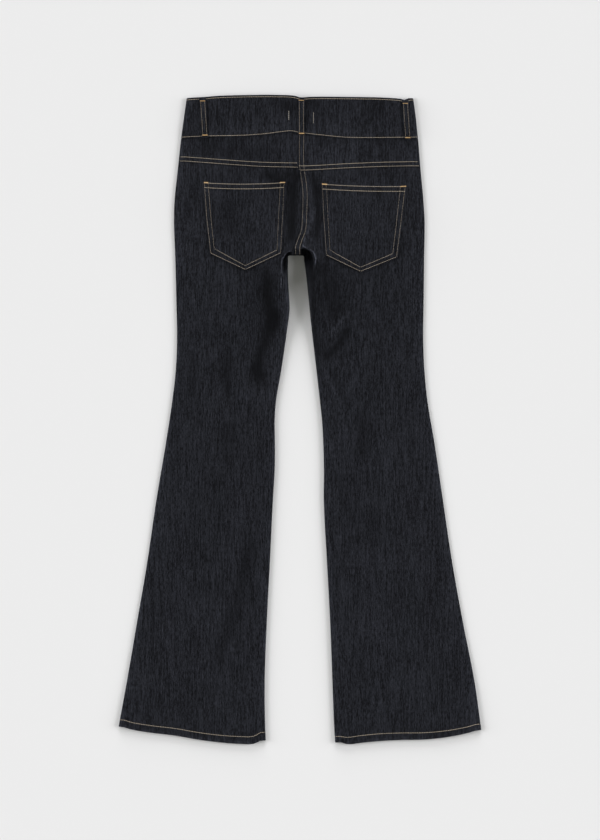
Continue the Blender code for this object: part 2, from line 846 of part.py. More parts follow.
def main():
    for old in list(bpy.data.objects):
        bpy.data.objects.remove(old)
    jeans = bpy.data.collections.new("bootcut_jeans")
    bpy.context.scene.collection.children.link(jeans)
    denim = material("dark_denim", (0.014, 0.015, 0.019), 0.9, 0.0)
    metal = material("button_metal", (0.45, 0.33, 0.2), 0.35, 1.0)
    add_legs(denim, jeans)
    add_waistband(denim, jeans)
    add_pockets(denim, jeans)
    add_belt_loops(denim, jeans)
    add_fly(denim, jeans)
    add_button(metal, jeans)
    centre_on_floor(jeans)


main()
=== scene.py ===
"""Bootcut jeans in dark denim, laid flat with the back side up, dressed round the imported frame.

A place on the cloth is (across, down) in millimetres: across from the middle line, with the wearer's
right positive, and down from the top edge of the waist. Heights are millimetres above the floor.
"""

import math
from functools import partial
from itertools import product

import bpy
import numpy as np
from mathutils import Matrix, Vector

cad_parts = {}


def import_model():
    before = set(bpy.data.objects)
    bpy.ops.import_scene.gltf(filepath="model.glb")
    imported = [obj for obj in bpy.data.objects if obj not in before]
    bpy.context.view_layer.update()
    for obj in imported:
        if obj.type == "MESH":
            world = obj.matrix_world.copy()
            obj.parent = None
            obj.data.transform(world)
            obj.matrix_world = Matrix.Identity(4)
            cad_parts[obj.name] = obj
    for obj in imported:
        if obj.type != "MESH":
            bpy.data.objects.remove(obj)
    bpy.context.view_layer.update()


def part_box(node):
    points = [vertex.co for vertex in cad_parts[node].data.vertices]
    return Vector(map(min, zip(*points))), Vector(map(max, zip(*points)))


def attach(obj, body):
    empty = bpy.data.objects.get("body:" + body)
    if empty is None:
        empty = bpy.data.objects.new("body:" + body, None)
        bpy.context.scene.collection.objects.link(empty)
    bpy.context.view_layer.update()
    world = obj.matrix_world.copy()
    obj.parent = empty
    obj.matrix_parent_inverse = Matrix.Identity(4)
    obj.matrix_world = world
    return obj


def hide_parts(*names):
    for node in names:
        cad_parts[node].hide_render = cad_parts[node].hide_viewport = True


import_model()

MM = 0.001
SIDES = ("left", "right")
OUTWARD = {"left": -1.0, "right": 1.0}

# Cloth: thickness, the waistband's step above the yoke, gaps at seams and between layers
DENIM = 1.2
BAND_THICKNESS = 2.4
BAND_STEP = 1.0
SEAM_GAP = 0.12
LAY_GAP = 0.6

# Side folds: how far they reach round onto the underside, and their largest radii
UNDER_MARGIN = 11.0
FOLD_RADIUS = 2.9
BAND_FOLD_RADIUS = 2.7

# Crotch: down of its fold, across of the seams' foot, radius of the fold's corners
CROTCH = 260.0
SEAM_FOOT = -9.2
CORNER_RADIUS = 2.6

# Waistband's lower edge at the sides, and how much lower the middle of the front waist is
SIDE_TOP = 70.5
FRONT_DIP = 38.0
FRONT_DIP_REACH = 176.0
FRONT_EDGE = 4.0

# Height of the underside: at rest on the floor, but lifted at the waist by the loops and the button
REST = 0.45
BAND_LIFT = 1.9
BUTTON_LIFT = 1.0
LIFT_FADE = 80.0
SAG_START = 112.0
SAG_REACH = 60.0
BUTTON_SPREAD = 34.0
BUTTON_ACROSS = -14.0
BUTTON_DOWN = 74.0

# Where the cloth's own axes lie in the frame
button_low, button_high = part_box("waist_button")
SHIFT_X = 0.5 * (button_low.x + button_high.x) / MM - BUTTON_ACROSS
TOP_Y = 0.5 * (button_low.y + button_high.y) / MM + BUTTON_DOWN

# Side edges of the flat garment: down, left, right
OUTER_EDGE = (
    (0.0, -183.0, 182.5), (25.0, -186.5, 186.0), (69.0, -192.5, 190.8), (118.0, -197.8, 194.9),
    (171.0, -203.3, 199.7), (204.0, -204.3, 201.7), (262.0, -202.2, 200.9), (333.0, -200.4, 200.1),
    (398.0, -199.3, 199.4), (446.0, -201.4, 201.4), (495.0, -207.0, 206.2), (560.0, -216.8, 217.1),
    (657.0, -233.0, 231.5), (754.0, -247.2, 245.9), (851.0, -263.7, 263.2), (948.0, -280.3, 282.2),
    (1021.0, -293.6, 292.6), (1052.0, -299.2, 297.0),
)

# Inner edges of the legs, from the crotch to the hem: down, left, right
INNER_EDGE = (
    (266.0, -19.6, 6.4), (300.0, -19.4, 10.7), (333.0, -17.4, 14.1), (349.0, -17.2, 15.6),
    (381.0, -21.1, 19.0), (446.0, -30.6, 26.6), (495.0, -38.9, 32.1), (527.0, -41.2, 35.5),
    (560.0, -40.8, 37.4), (608.0, -41.2, 38.6), (657.0, -44.1, 38.4), (754.0, -48.8, 43.4),
    (851.0, -53.8, 48.6), (948.0, -57.3, 52.3), (1021.0, -56.6, 55.1), (1052.0, -55.2, 56.9),
)

# Centre back seam and centre front seam: down, across
BACK_SEAM = (
    (60.0, -2.6), (119.0, -2.2), (141.0, 1.2), (162.0, 2.8), (193.0, 2.1), (219.0, 0.2), (238.0, -6.5),
    (247.5, SEAM_FOOT), (252.0, SEAM_FOOT), (270.0, SEAM_FOOT),
)
FRONT_SEAM = (
    (100.0, 4.0), (150.0, 2.5), (200.0, -3.0), (235.0, -8.2), (250.0, SEAM_FOOT), (270.0, SEAM_FOOT),
)

# Top and bottom edge of the waistband on the back: across, down
BAND_TOP = (
    (-190.0, 4.9), (-155.0, 3.2), (-133.0, 1.6), (-70.0, 0.0), (-39.0, 0.0), (-8.0, 1.6), (0.0, 4.0),
    (16.0, 3.2), (73.0, 3.2), (147.0, 4.9), (163.0, 6.3), (172.0, 8.2), (177.0, 5.4), (190.0, 5.2),
)
BAND_BOTTOM = (
    (-192.0, SIDE_TOP), (-155.0, 69.0), (-88.0, 67.6), (-57.0, 65.3), (-26.0, 61.4), (-13.0, 60.6),
    (-1.0, 63.2), (16.0, 65.2), (46.0, 68.5), (77.0, 71.1), (124.0, 71.4), (191.0, SIDE_TOP),
)

# Lower edge of the yoke: across, down
YOKE_SIDE = {"left": 109.0, "right": 116.8}
YOKE_CENTRE = {"left": 119.2, "right": 123.8}
YOKE_EDGE = {
    "left": ((-186.0, 109.0), (-127.0, 113.6), (-63.0, 117.8), (-2.0, 119.2)),
    "right": ((-2.0, 123.8), (8.0, 123.8), (77.0, 120.2), (135.0, 117.9), (182.0, 116.8)),
}

# Hem of each leg, from the outer to the inner edge: share of the width, left down, right down
HEM = (
    (0.00, 1023.0, 1028.5), (0.05, 1026.5, 1032.0), (0.20, 1032.0, 1039.0), (0.37, 1036.5, 1043.4),
    (0.55, 1043.5, 1044.5), (0.70, 1047.8, 1046.2), (0.85, 1050.3, 1049.5), (0.95, 1050.2, 1051.8),
    (1.00, 1045.4, 1048.8),
)

# Hem stitches above the hem's edge: share of the width, left, right
HEM_STITCH = (
    (0.0, 11.2, 9.8), (0.5, 11.3, 11.3), (0.85, 11.8, 11.6), (0.96, 12.4, 11.0), (1.0, 13.4, 9.8),
)

# Height of the top sheet: down, height
LOFT = (
    (0.0, 11.5), (65.0, 12.0), (120.0, 12.8), (200.0, 13.8), (255.0, 13.8), (300.0, 12.4),
    (345.0, 10.2), (405.0, 7.4), (500.0, 6.3), (1052.0, 6.0),
)

# The sheet sinks towards the side folds: its height there, and how far in that reaches
SIDE_LOFT = (
    (0.0, 5.0), (70.0, 5.0), (125.0, 4.8), (180.0, 4.6), (300.0, 4.6), (920.0, 4.6), (1005.0, 6.0),
    (1052.0, 6.0),
)
SIDE_REACH = 52.0

# Swells (and, below zero, hollows) in the top sheet: across, down, height, reach across, reach down
SWELLS = (
    (-4.0, 256.0, 15.5, 50.0, 60.0), (-28.0, 322.0, 8.5, 26.0, 64.0), (24.0, 322.0, 8.5, 28.0, 64.0),
    (-13.0, 214.0, -1.8, 10.0, 36.0), (19.0, 208.0, -1.6, 11.0, 34.0), (-52.0, 318.0, -1.8, 14.0, 38.0),
    (-62.0, 398.0, -1.0, 13.0, 30.0), (54.0, 312.0, -1.8, 15.0, 34.0), (62.0, 362.0, -1.0, 15.0, 28.0),
)

# Creases: depth (below zero) or rise, how much paler the cloth is painted there (a painted highlight on a
# ridge; below zero, painted shade in a trough), half width, then the line they follow (across, down)
CREASES = (
    (-1.6, -0.75, 9.5, ((-10.0, 108.0), (-11.5, 150.0), (-12.0, 190.0), (-13.0, 222.0), (-16.0, 254.0))),
    (-0.6, -0.24, 17.0, ((-60.0, 128.0), (-34.0, 150.0), (-24.0, 205.0), (-24.0, 246.0))),
    (-1.0, -0.8, 6.0, ((19.0, 120.0), (25.0, 150.0), (29.0, 190.0), (28.0, 222.0), (24.0, 246.0))),
    (0.6, 0.1, 2.4, ((10.0, 118.0), (12.0, 150.0), (22.0, 182.0), (19.0, 203.0), (11.0, 224.0),
        (4.0, 245.0))),
    (-1.5, -0.78, 10.5, ((-50.0, 272.0), (-53.0, 325.0), (-42.0, 364.0), (-62.0, 412.0),
        (-71.0, 444.0), (-60.0, 476.0))),
    (-0.5, -0.16, 20.0, ((-62.0, 268.0), (-66.0, 330.0), (-58.0, 390.0))),
    (1.0, 0.14, 6.0, ((-30.0, 300.0), (-24.0, 345.0), (-33.0, 400.0))),
    (-1.4, -0.52, 20.0, ((28.0, 260.0), (46.0, 310.0), (60.0, 350.0), (68.0, 380.0))),
    (1.2, 0.8, 4.0, ((82.0, 345.0), (68.0, 366.0), (48.0, 392.0))),
    (-1.3, -0.75, 7.5, ((82.0, 372.0), (66.0, 400.0), (44.0, 424.0), (34.0, 432.0))),
    (0.6, 0.4, 4.0, ((36.0, 440.0), (52.0, 470.0), (70.0, 505.0))),
    (-0.6, -0.4, 5.0, ((44.0, 440.0), (58.0, 470.0), (78.0, 510.0))),
    (-0.9, -0.55, 8.5, ((-118.0, 405.0), (-119.0, 450.0), (-116.0, 500.0))),
    (-0.8, -0.38, 8.5, ((-175.0, 410.0), (-174.0, 450.0), (-177.0, 500.0))),
    (-0.6, -0.34, 14.0, ((-112.0, 525.0), (-118.0, 560.0), (-116.0, 600.0))),
    (0.6, 0.08, 11.0, ((-88.0, 790.0), (-118.0, 860.0), (-136.0, 935.0))),
    (-0.9, -0.46, 11.0, ((-74.0, 700.0), (-100.0, 815.0), (-141.0, 940.0))),
    (-0.8, -0.42, 11.0, ((98.0, 500.0), (104.0, 545.0), (100.0, 590.0))),
    (-0.5, -0.3, 11.0, ((70.0, 610.0), (74.0, 660.0), (90.0, 700.0))),
    (-0.6, -0.3, 11.0, ((118.0, 660.0), (122.0, 700.0), (120.0, 740.0))),
    (-0.5, -0.08, 13.0, ((-150.0, 560.0), (-162.0, 650.0), (-186.0, 760.0))),
    (0.5, 0.05, 12.0, ((130.0, 860.0), (146.0, 930.0), (150.0, 990.0))),
    (-0.5, -0.08, 9.0, ((220.0, 880.0), (226.0, 940.0), (238.0, 1000.0))),
    (-0.4, -0.3, 13.0, ((-120.0, 168.0), (-114.0, 200.0), (-112.0, 230.0))),
    (-0.3, -0.34, 16.0, ((-176.0, 90.0), (-110.0, 90.0), (-40.0, 96.0))),
)

# Painted light and shade, and worn and pressed places: how much paler (or darker) than new, half width, then
# the line (across, down)
PAINTED_LIGHT_AND_WEAR = (
    # painted highlights along the rolled rims of the crotch folds, right and left
    (5.0, 0.75, ((1.0, 241.0), (9.7, 248.8), (16.4, 251.3), (21.4, 254.7), (24.3, 260.5),
        (24.9, 266.0), (25.0, 279.0))),
    (4.6, 0.75, ((-9.6, 252.8), (-18.5, 254.0), (-25.1, 260.0), (-29.3, 266.3), (-30.8, 276.0),
        (-30.0, 318.0))),
    # painted shade in the hollows beside the crotch
    (-0.6, 6.5, ((8.0, 257.0), (16.5, 266.0), (17.0, 284.0), (17.0, 306.0))),
    (-0.55, 3.2, ((-22.5, 259.0), (-25.5, 268.0), (-25.0, 284.0))),
    (1.1, 2.2, ((24.0, 176.0), (21.0, 198.0), (13.0, 219.0), (7.0, 236.0), (3.0, 249.0))),
    # painted shade down the right leg's inner edge, beside the gap
    (-0.5, 8.0, ((14.0, 272.0), (19.0, 330.0), (24.0, 380.0), (32.0, 440.0))),
    # painted shade in the hollow between the left pocket and the centre back seam
    (-0.55, 12.0, ((-66.0, 124.0), (-44.0, 131.0), (-20.0, 142.0))),
    # painted shade in the left thigh's hollows
    (-0.35, 12.0, ((-48.0, 346.0), (-42.0, 364.0), (-50.0, 384.0))),
    (-0.4, 13.0, ((-74.0, 432.0), (-66.0, 456.0), (-58.0, 480.0))),
    (0.3, 4.0, ((67.0, 326.0), (65.0, 352.0), (63.0, 374.0))),
    (0.3, 16.0, ((-10.0, 92.0), (40.0, 98.0), (100.0, 100.0))),
    (0.12, 40.0, ((100.0, 150.0), (110.0, 210.0), (104.0, 270.0))),
    (-0.42, 10.0, ((-50.0, 12.0), (-10.0, 16.0), (40.0, 14.0))),
    (-0.12, 12.0, ((40.0, 14.0), (90.0, 16.0), (140.0, 18.0))),
    (0.34, 9.0, ((-178.0, 61.0), (-88.0, 58.5), (-57.0, 56.0), (-26.0, 52.0), (-13.0, 51.0), (-1.0, 53.5))),
    (0.34, 9.0, ((-1.0, 53.5), (16.0, 56.0), (46.0, 59.5), (77.0, 62.0), (124.0, 62.5), (182.0, 61.5))),
    # painted shadow, a thin dark line under the waistband's lower edge
    (-0.25, 3.0, ((-178.0, 73.5), (-88.0, 71.5), (-57.0, 69.2), (-26.0, 65.4), (-13.0, 64.6),
        (-1.0, 67.2))),
    (-0.25, 3.0, ((-1.0, 67.2), (16.0, 69.2), (46.0, 72.5), (77.0, 75.1), (124.0, 75.4), (182.0, 74.5))),
    # painted highlight along the side folds
    (0.15, 20.0, ((-176.0, 190.0), (-182.0, 280.0), (-178.0, 360.0))),
    (0.12, 16.0, ((186.0, 190.0), (188.0, 280.0), (184.0, 360.0))),
)

# Paler cloth along the side folds (a painted highlight, with some wear) and the hems (wear): gain, width
SIDE_HIGHLIGHT_AND_WEAR = (0.5, 8.0)
WORN_HEM = (1.1, 2.6)
# down from which the inner folds get the painted highlight and wear as well
INNER_HIGHLIGHT_AND_WEAR_START = {"left": 320.0, "right": 440.0}

# Width of the rounding at the side folds: down, width
OUTER_ROLL = (
    (0.0, 12.0), (70.0, 12.0), (200.0, 15.0), (300.0, 13.0), (400.0, 10.0), (1052.0, 8.0),
)

# Width of the rounding at the inner folds: distance from the crotch seam, left, right
INNER_ROLL = (
    (0.0, 12.0, 12.0), (4.0, 8.2, 12.1), (8.0, 6.8, 12.4), (11.0, 7.0, 13.0), (13.0, 8.8, 13.8),
    (14.5, 10.0, 15.0), (16.0, 10.9, 17.6), (17.5, 11.4, 19.4), (20.0, 12.0, 20.4), (28.0, 12.2, 20.4),
    (42.0, 11.0, 16.5), (60.0, 8.0, 11.0), (80.0, 6.0, 7.0), (120.0, 6.0, 6.0), (820.0, 8.0, 8.0),
)

# How far the inner folds are undercut at the crotch: distance from the crotch seam, left, right
HOLLOW = (
    (0.0, 0.0, 0.0), (5.0, 0.1, 0.0), (8.0, 0.7, 0.1), (11.0, 1.0, 0.5), (15.0, 1.0, 1.0),
    (22.0, 1.0, 0.9), (30.0, 0.75, 0.55), (40.0, 0.35, 0.22), (50.0, 0.1, 0.05), (64.0, 0.0, 0.0),
)

# Back pockets: across and down of the hem corners, the foot corners and the point
POCKET_OUTLINES = {
    "left": {
        "hem_outer": (-159.0, 140.9),
        "hem_inner": (-22.0, 140.6),
        "hem_sag": 2.6,
        "foot_outer": (-146.2, 257.4),
        "foot_inner": (-30.0, 257.4),
        "point": (-88.5, 284.8),
    },
    "right": {
        "hem_outer": (173.0, 147.1),
        "hem_inner": (33.5, 143.3),
        "hem_sag": 1.6,
        "foot_outer": (157.6, 263.6),
        "foot_inner": (41.0, 260.4),
        "point": (97.9, 287.6),
    },
}
POCKET_HEM = 10.5

# Stitches round each pocket, from its outer hem corner to its inner one: an outer and an inner row
POCKET_ROWS = {
    "left": (
        (
            (-155.6, 141.6), (-154.4, 151.0), (-151.0, 199.9), (-148.1, 223.7), (-144.7, 256.0),
            (-88.5, 282.6), (-31.6, 256.0), (-29.8, 223.7), (-28.2, 196.5), (-26.4, 151.0),
            (-25.8, 141.4),
        ),
        (
            (-149.4, 142.0), (-148.4, 150.7), (-144.2, 201.0), (-139.0, 249.0), (-88.9, 276.6),
            (-37.3, 251.4), (-35.0, 200.9), (-32.2, 150.7), (-31.5, 142.0),
        ),
    ),
    "right": (
        (
            (170.2, 147.8), (169.1, 156.0), (163.2, 206.0), (156.0, 262.4), (97.8, 285.6),
            (42.6, 259.2), (38.0, 192.8), (36.5, 153.6), (36.2, 144.2),
        ),
        (
            (162.4, 148.4), (161.4, 158.3), (156.0, 206.0), (150.0, 257.2), (97.8, 279.2),
            (48.4, 251.8), (45.5, 204.6), (43.1, 154.7), (42.6, 145.0),
        ),
    ),
}

# Belt loops: size, how far they stand off the waistband, rows of stitches and rounded ends
LOOP_WIDTH = 10.6
LOOP_THICKNESS = 1.6
LOOP_ARCH = 0.8
LOOP_LIFT = 0.25
LOOP_STITCH = 3.3
LOOP_END = 0.9
LOOP_STITCH_ENDS = (0.06, 0.94)
TACK_HALF = 4.2

# Back belt loops: across at the top and the bottom, down at the top and the bottom
BACK_LOOPS = {
    "centre": (2.0, 2.4, 7.0, 64.5),
    "left": (-158.2, -153.7, 4.6, 69.9),
    "right": (170.1, 174.6, 8.6, 73.4),
}

# Bartacks at the back loops' ends, as shares of their length, and where the front loops are
LOOP_TACKS = {"centre": (0.035, 0.965), "left": (0.081, 0.93), "right": (0.08, 0.935)}
FRONT_LOOP_ACROSS = 98.0

# Fly, on the underside
BAND_LEFT_END = 4.0
BAND_RIGHT_END = -36.0
BAND_LAP_EDGE = 9.0
BAND_LAP_FOOT = 34.0
FLY_LENGTH = 108.0
FLY_EDGE = -27.0

# Stitches; the rows that run down the cloth are pulled in more than those across it
PITCH = 2.8
STITCH_LENGTH = 2.4
THREAD_RADIUS = 0.4
TACK_RADIUS = 0.38
LABEL_TACK_RADIUS = 0.36
PULLED_IN = {"size": 0.56, "pitch": 2.5, "length": 1.75}
NEAR_ROW = 2.0
FAR_ROW = 8.7
BAND_ROW = 2.4
POCKET_HEM_ROWS = (1.4, 9.0)

# Rings of a stitch: share of its length, size, lift above its line, both in radii
THREAD_RINGS = (
    (0.0, 0.5, -0.75), (0.14, 0.95, -0.05), (0.5, 1.0, 0.2), (0.86, 0.95, -0.05), (1.0, 0.5, -0.75),
)

# Fine rows and columns next to an edge, as distances from it
FINE = (0.0, 0.35, 0.8, 1.4, 2.0, 2.7, 3.8, 5.2, 6.8, 8.2, 9.2, 10.4, 12.2)
UPPER_STEPS = 20
LOWER_STEPS = 5
MARGIN_STEPS = 3
PANEL_COLUMNS = 54
FRONT_COLUMNS = 40
FRONT_ROWS = 44
BAND_EDGE_ROWS = (1.7, 2.1, 2.4, 2.8, 3.6, 5.0, 7.5)

# Rows round the crotch: distance on the inner fold below the corner's end, down at the outer edge
CROTCH_ROWS = ((0.0, 266.0), (10.0, 275.0), (23.0, 288.0), (37.0, 303.0))
SEAT_END = 246.0
RIM_LIP = 0.05
FAN_REACH = 30.0
LEG_START = 303.0

# Hem: the level that stands for its edge, where rows start to follow it, its roll and its depth inside
HEM_LEVEL = 1040.0
HEM_BLEND = (900.0, 1012.0)
HEM_ROLL = 1.3
HEM_DEPTH = 10.5
HEM_ROWS = (12.2, 10.8, 9.8, 8.8, 7.2, 5.6, 4.0, 2.6)
HEM_INSIDE_ROWS = (3.0, 5.0, 7.5, HEM_DEPTH)

# Relief: a lapped seam's rise and width, dents of the stitches, the drop beside an edge, and where the
# centre back seam fades out
LAP_RISE = 0.75
LAP_WIDTH = 8.6
STITCH_DENT = 0.16
DENT_WIDTH = 0.8
EDGE_DROP = 0.55
SEAM_END = 262.0
SEAM_FADE = 6.0

# Uneven waves in the top sheet: height, size, angle
RIPPLES = ((0.22, 90.0, 0.25), (0.1, 37.0, -0.4))

# Painted light and shade, and wear: its darkest, the height above which it counts, and a distance at which
# nothing is left of it
DARKEST = -0.85
WEAR_AND_LIGHT_ABOVE = REST + 2.0
FAR = 1e3

# Bartacks on the back: start and end (across, down)
POCKET_BARTACKS = {
    "left": (((-155.5, 142.2), (-149.0, 142.4)), ((-32.8, 142.2), (-24.2, 141.9))),
    "right": (((35.6, 144.6), (43.8, 145.2)), ((162.2, 148.6), (171.6, 148.0))),
}
LABEL_TACKS = (((-18.3, 25.3), (-18.3, 41.6)), ((21.7, 28.4), (21.7, 46.2)))

# Button, as radius and height: its face, its back, and the shank's top from the waistband's inner face
BUTTON_FACE = ((0.0, 0.9), (4.6, 0.9), (5.4, 0.75), (6.1, 0.25), (6.9, 0.0), (7.7, 0.15), (8.3, 0.6))
BUTTON_BACK = ((8.5, 1.2), (8.3, 1.9), (7.6, 2.4), (6.0, 2.6), (3.6, 2.6), (3.2, 2.8))
BUTTON_SHANK = ((3.2, -0.4), (4.2, -0.2), (4.2, 0.3), (0.0, 0.5))
BUTTON_SIDES = 48

# Zip and shield: the tape's half width and thickness, pitch of its teeth, the shield's ends across and
# its height above the front panel
TAPE_HALF = 13.0
TAPE_THICKNESS = 0.8
TOOTH_PITCH = 1.6
SHIELD_ACROSS = (-34.0, 14.0)
SHIELD_LIFT = 3.4
BOX_FACES = ((0, 1, 3, 2), (4, 6, 7, 5), (0, 4, 5, 1), (2, 3, 7, 6), (0, 2, 6, 4), (1, 5, 7, 3))

# Colours, as linear red, green and blue
DENIM_COLOUR = (0.0094, 0.01, 0.0127)
INSIDE_COLOUR = (0.06, 0.068, 0.085)
THREAD_COLOUR = (0.43, 0.362, 0.275)
OCHRE_COLOUR = (0.5, 0.32, 0.14)
PALE_COLOUR = (0.42, 0.39, 0.34)
TAPE_COLOUR = (0.012, 0.013, 0.018)
BRASS_COLOUR = (0.45, 0.33, 0.2)
SHEEN_TINT = (0.72, 0.78, 1.0, 1.0)
GROUND_COLOUR = (0.8, 0.8, 0.8, 1.0)

# Lights: azimuth from +X towards +Y, elevation, strength, angle, all angles in degrees
SUNS = {
    "left_light": (175.0, 23.0, 2.71, 36.0),
    "right_light": (5.0, 23.0, 2.71, 36.0),
    "top_light": (90.0, 17.0, 2.04, 32.0),
}
SUN_COLOUR = (0.998, 0.996, 1.018)
ROOM_COLOUR = (1.0, 1.01, 0.91, 1.0)
ROOM_STRENGTH = 0.19

# Camera, straight above: place in metres, lens and sensor in millimetres
CAMERA_PLACE = (0.0, -0.0007, 13.608)
CAMERA_LENS = 360.0
CAMERA_SENSOR = 36.0


def column(table, index, at):
    """A column of a table at any places, on a cubic curve through its rows."""
    places = np.array([row[0] for row in table])
    values = np.array([row[index] for row in table])
    at = np.clip(at, places[0], places[-1])
    slopes = np.diff(values) / np.diff(places)
    tangent = np.concatenate([slopes[:1], 0.5 * (slopes[:-1] + slopes[1:]), slopes[-1:]])
    i = np.clip(np.searchsorted(places, at, side="right") - 1, 0, len(places) - 2)
    span = places[i + 1] - places[i]
    t = (at - places[i]) / span
    return (
        values[i] * (1 + 2 * t) * (1 - t) ** 2
        + values[i + 1] * t * t * (3 - 2 * t)
        + span * tangent[i] * t * (1 - t) ** 2
        - span * tangent[i + 1] * t * t * (1 - t)
    )


def mix(a, b, t):
    return a + (b - a) * t


def ease(t):
    """0 to 1 with level ends."""
    t = np.clip(t, 0.0, 1.0)
    return t * t * (3.0 - 2.0 * t)


def bell(x, width):
    return np.exp(-((x / width) ** 2))


def rounded(share):
    """0 to 1 on a quarter circle, steep first."""
    return np.sqrt(np.maximum(1.0 - (1.0 - np.clip(share, 0.0, 1.0)) ** 2, 0.0))


def outer_edge(side, down):
    return column(OUTER_EDGE, 1 + SIDES.index(side), down)


def inner_edge(side, down):
    return column(INNER_EDGE, 1 + SIDES.index(side), down)


def back_seam(down):
    return column(BACK_SEAM, 1, down)


def front_seam(down):
    return column(FRONT_SEAM, 1, down)


def band_top(across):
    return column(BAND_TOP, 1, across)


def band_bottom(across):
    return column(BAND_BOTTOM, 1, across)


def yoke_edge(side, across):
    return column(YOKE_EDGE[side], 1, across)


def hem(side, share):
    return column(HEM, 1 + SIDES.index(side), share)


def front_dip(across):
    """How much lower the front waist lies than the sides."""
    return FRONT_DIP * np.maximum(0.0, 1.0 - (across / FRONT_DIP_REACH) ** 2)


def underside(across, down):
    """Height of the underside's outer face: it lies on the floor, but for the lift at the waist."""
    below_band = down - SIDE_TOP - front_dip(across)
    button = (across - BUTTON_ACROSS) ** 2 + (down - BUTTON_DOWN) ** 2
    lift = BAND_LIFT + BUTTON_LIFT * np.exp(-button / BUTTON_SPREAD**2)
    sag = ease((np.abs(across) - SAG_START) / SAG_REACH)
    return REST + lift * (1.0 - sag) * (1.0 - ease(below_band / LIFT_FADE))


def nearest_on(across, down, line):
    """Distance from a line of straight parts, and the share of its length where it is nearest."""
    nearest = np.full(np.shape(across), 1e9)
    along = np.zeros(np.shape(across))
    lengths = [math.dist(a, b) for a, b in zip(line, line[1:])]
    passed = 0.0
    for (x0, d0), (x1, d1), length in zip(line, line[1:], lengths):
        t = np.clip(((across - x0) * (x1 - x0) + (down - d0) * (d1 - d0)) / length**2, 0.0, 1.0)
        far = np.hypot(across - x0 - t * (x1 - x0), down - d0 - t * (d1 - d0))
        closer = far < nearest
        nearest = np.where(closer, far, nearest)
        along = np.where(closer, (passed + t * length) / sum(lengths), along)
        passed += length
    return nearest, along


def stroke(across, down, line, width):
    """1 on a line, fading to 0 beside it and towards its ends."""
    nearest, along = nearest_on(across, down, line)
    return bell(nearest, width) * ease(6.0 * along) * ease(6.0 * (1.0 - along))


def roping(across, phase=0.0):
    """Slanting waves of a twisted hem, between -1 and 1."""
    return np.sin(0.42 * across + phase + 0.8 * np.sin(0.09 * across))


def wear_and_painted_light(across, down):
    """How much paler or darker (below zero) the cloth is painted: painted highlights and shade, and some
    wear.
    """
    change = np.zeros(np.shape(across))
    # crease strokes and the listed strokes: painted shade in hollows and troughs, painted highlights on
    # ridges and rims, and some wear
    for gain, width, line in (*(row[1:] for row in CREASES), *PAINTED_LIGHT_AND_WEAR):
        change = change + gain * stroke(across, down, line, width)
    for side in SIDES:
        out = OUTWARD[side]
        inner = np.where(down > INNER_HIGHLIGHT_AND_WEAR_START[side], out * (across - inner_edge(side, down)), FAR)
        # paler along the side folds and, lower down, the inner folds: a painted highlight, with some wear
        for from_edge in (out * (outer_edge(side, down) - across), inner):
            change = change + SIDE_HIGHLIGHT_AND_WEAR[0] * bell(from_edge, SIDE_HIGHLIGHT_AND_WEAR[1])
        above_hem = np.where(out * across > 0.0, hem(side, hem_share(side, across, down)) - down, FAR)
        roped = 0.6 + 0.4 * roping(across)
        change = change + WORN_HEM[0] * roped * bell(above_hem - 1.0, WORN_HEM[1])
    return np.maximum(change, DARKEST)


def ripple(across, down, size, turn):
    """Uneven soft waves between -1 and 1, about size long, their crests near the angle turn."""
    u = (across * math.cos(turn) + down * math.sin(turn)) / size
    v = (down * math.cos(turn) - across * math.sin(turn)) / size
    slow = np.sin(1.7 * v + 0.6 * np.sin(2.3 * u + 1.1)) + np.sin(0.9 * v - 1.3 * u + 2.0)
    return 0.5 * np.sin(5.3 * u + 1.4 * slow) + 0.3 * np.sin(8.9 * u - 1.1 * slow + 0.7) * np.sin(2.9 * v)


def cloth(across, down):
    """Height of the top sheet's outer face, creases and all."""
    from_side = np.minimum(across - outer_edge("left", down), outer_edge("right", down) - across)
    side = column(SIDE_LOFT, 1, down)
    height = mix(side, column(LOFT, 1, down), ease(from_side / SIDE_REACH))
    for x, y, rise, reach_across, reach_down in SWELLS:
        away = ((across - x) / reach_across) ** 2 + ((down - y) / reach_down) ** 2
        height = height + rise * np.exp(-away)
    for rise, _, width, line in CREASES:
        height = height + rise * stroke(across, down, line, width)
    for rise, size, turn in RIPPLES:
        height = height + rise * ripple(across, down, size, turn)
    return height


def lapped_edge(distance):
    """Profile of a folded edge that lies on top: rounded at the edge, level over the allowance inside."""
    round_off = (LAP_RISE + EDGE_DROP) * np.exp(-np.maximum(distance, 0.0) / 0.45)
    return LAP_RISE * (1.0 - ease((distance - LAP_WIDTH) / 3.2)) - round_off


def under_edge(distance):
    """Profile of the cloth that goes under a lapped edge."""
    return -EDGE_DROP * np.exp(-np.maximum(distance, 0.0) / 1.6)


def sewn(distance, along, rows):
    """Dents and puckers along rows of stitches, at distances from the edge that they follow."""
    dent = 0.0
    for row in rows:
        dent = dent - STITCH_DENT * bell(distance - row, DENT_WIDTH)
    middle = 0.5 * (rows[0] + rows[-1])
    pucker = 0.5 * np.sin(0.86 * along + 1.1 * np.sin(0.13 * along)) + 0.5 * np.sin(0.53 * along + 2.0)
    return dent + 0.14 * pucker * bell(distance - middle, 4.5 + 0.6 * (rows[-1] - rows[0]))


def seat_seam(side, across, down):
    """Relief beside the centre back seam: the right side lies over the left one."""
    distance = OUTWARD[side] * (across - back_seam(down))
    if side == "left":
        return under_edge(distance) + 0.5 * sewn(distance, down, (0.5,))
    return lapped_edge(distance) + sewn(distance, down, (NEAR_ROW, FAR_ROW))


def hem_share(side, across, down):
    outer = outer_edge(side, down)
    return (across - outer) / (inner_edge(side, down) - outer)


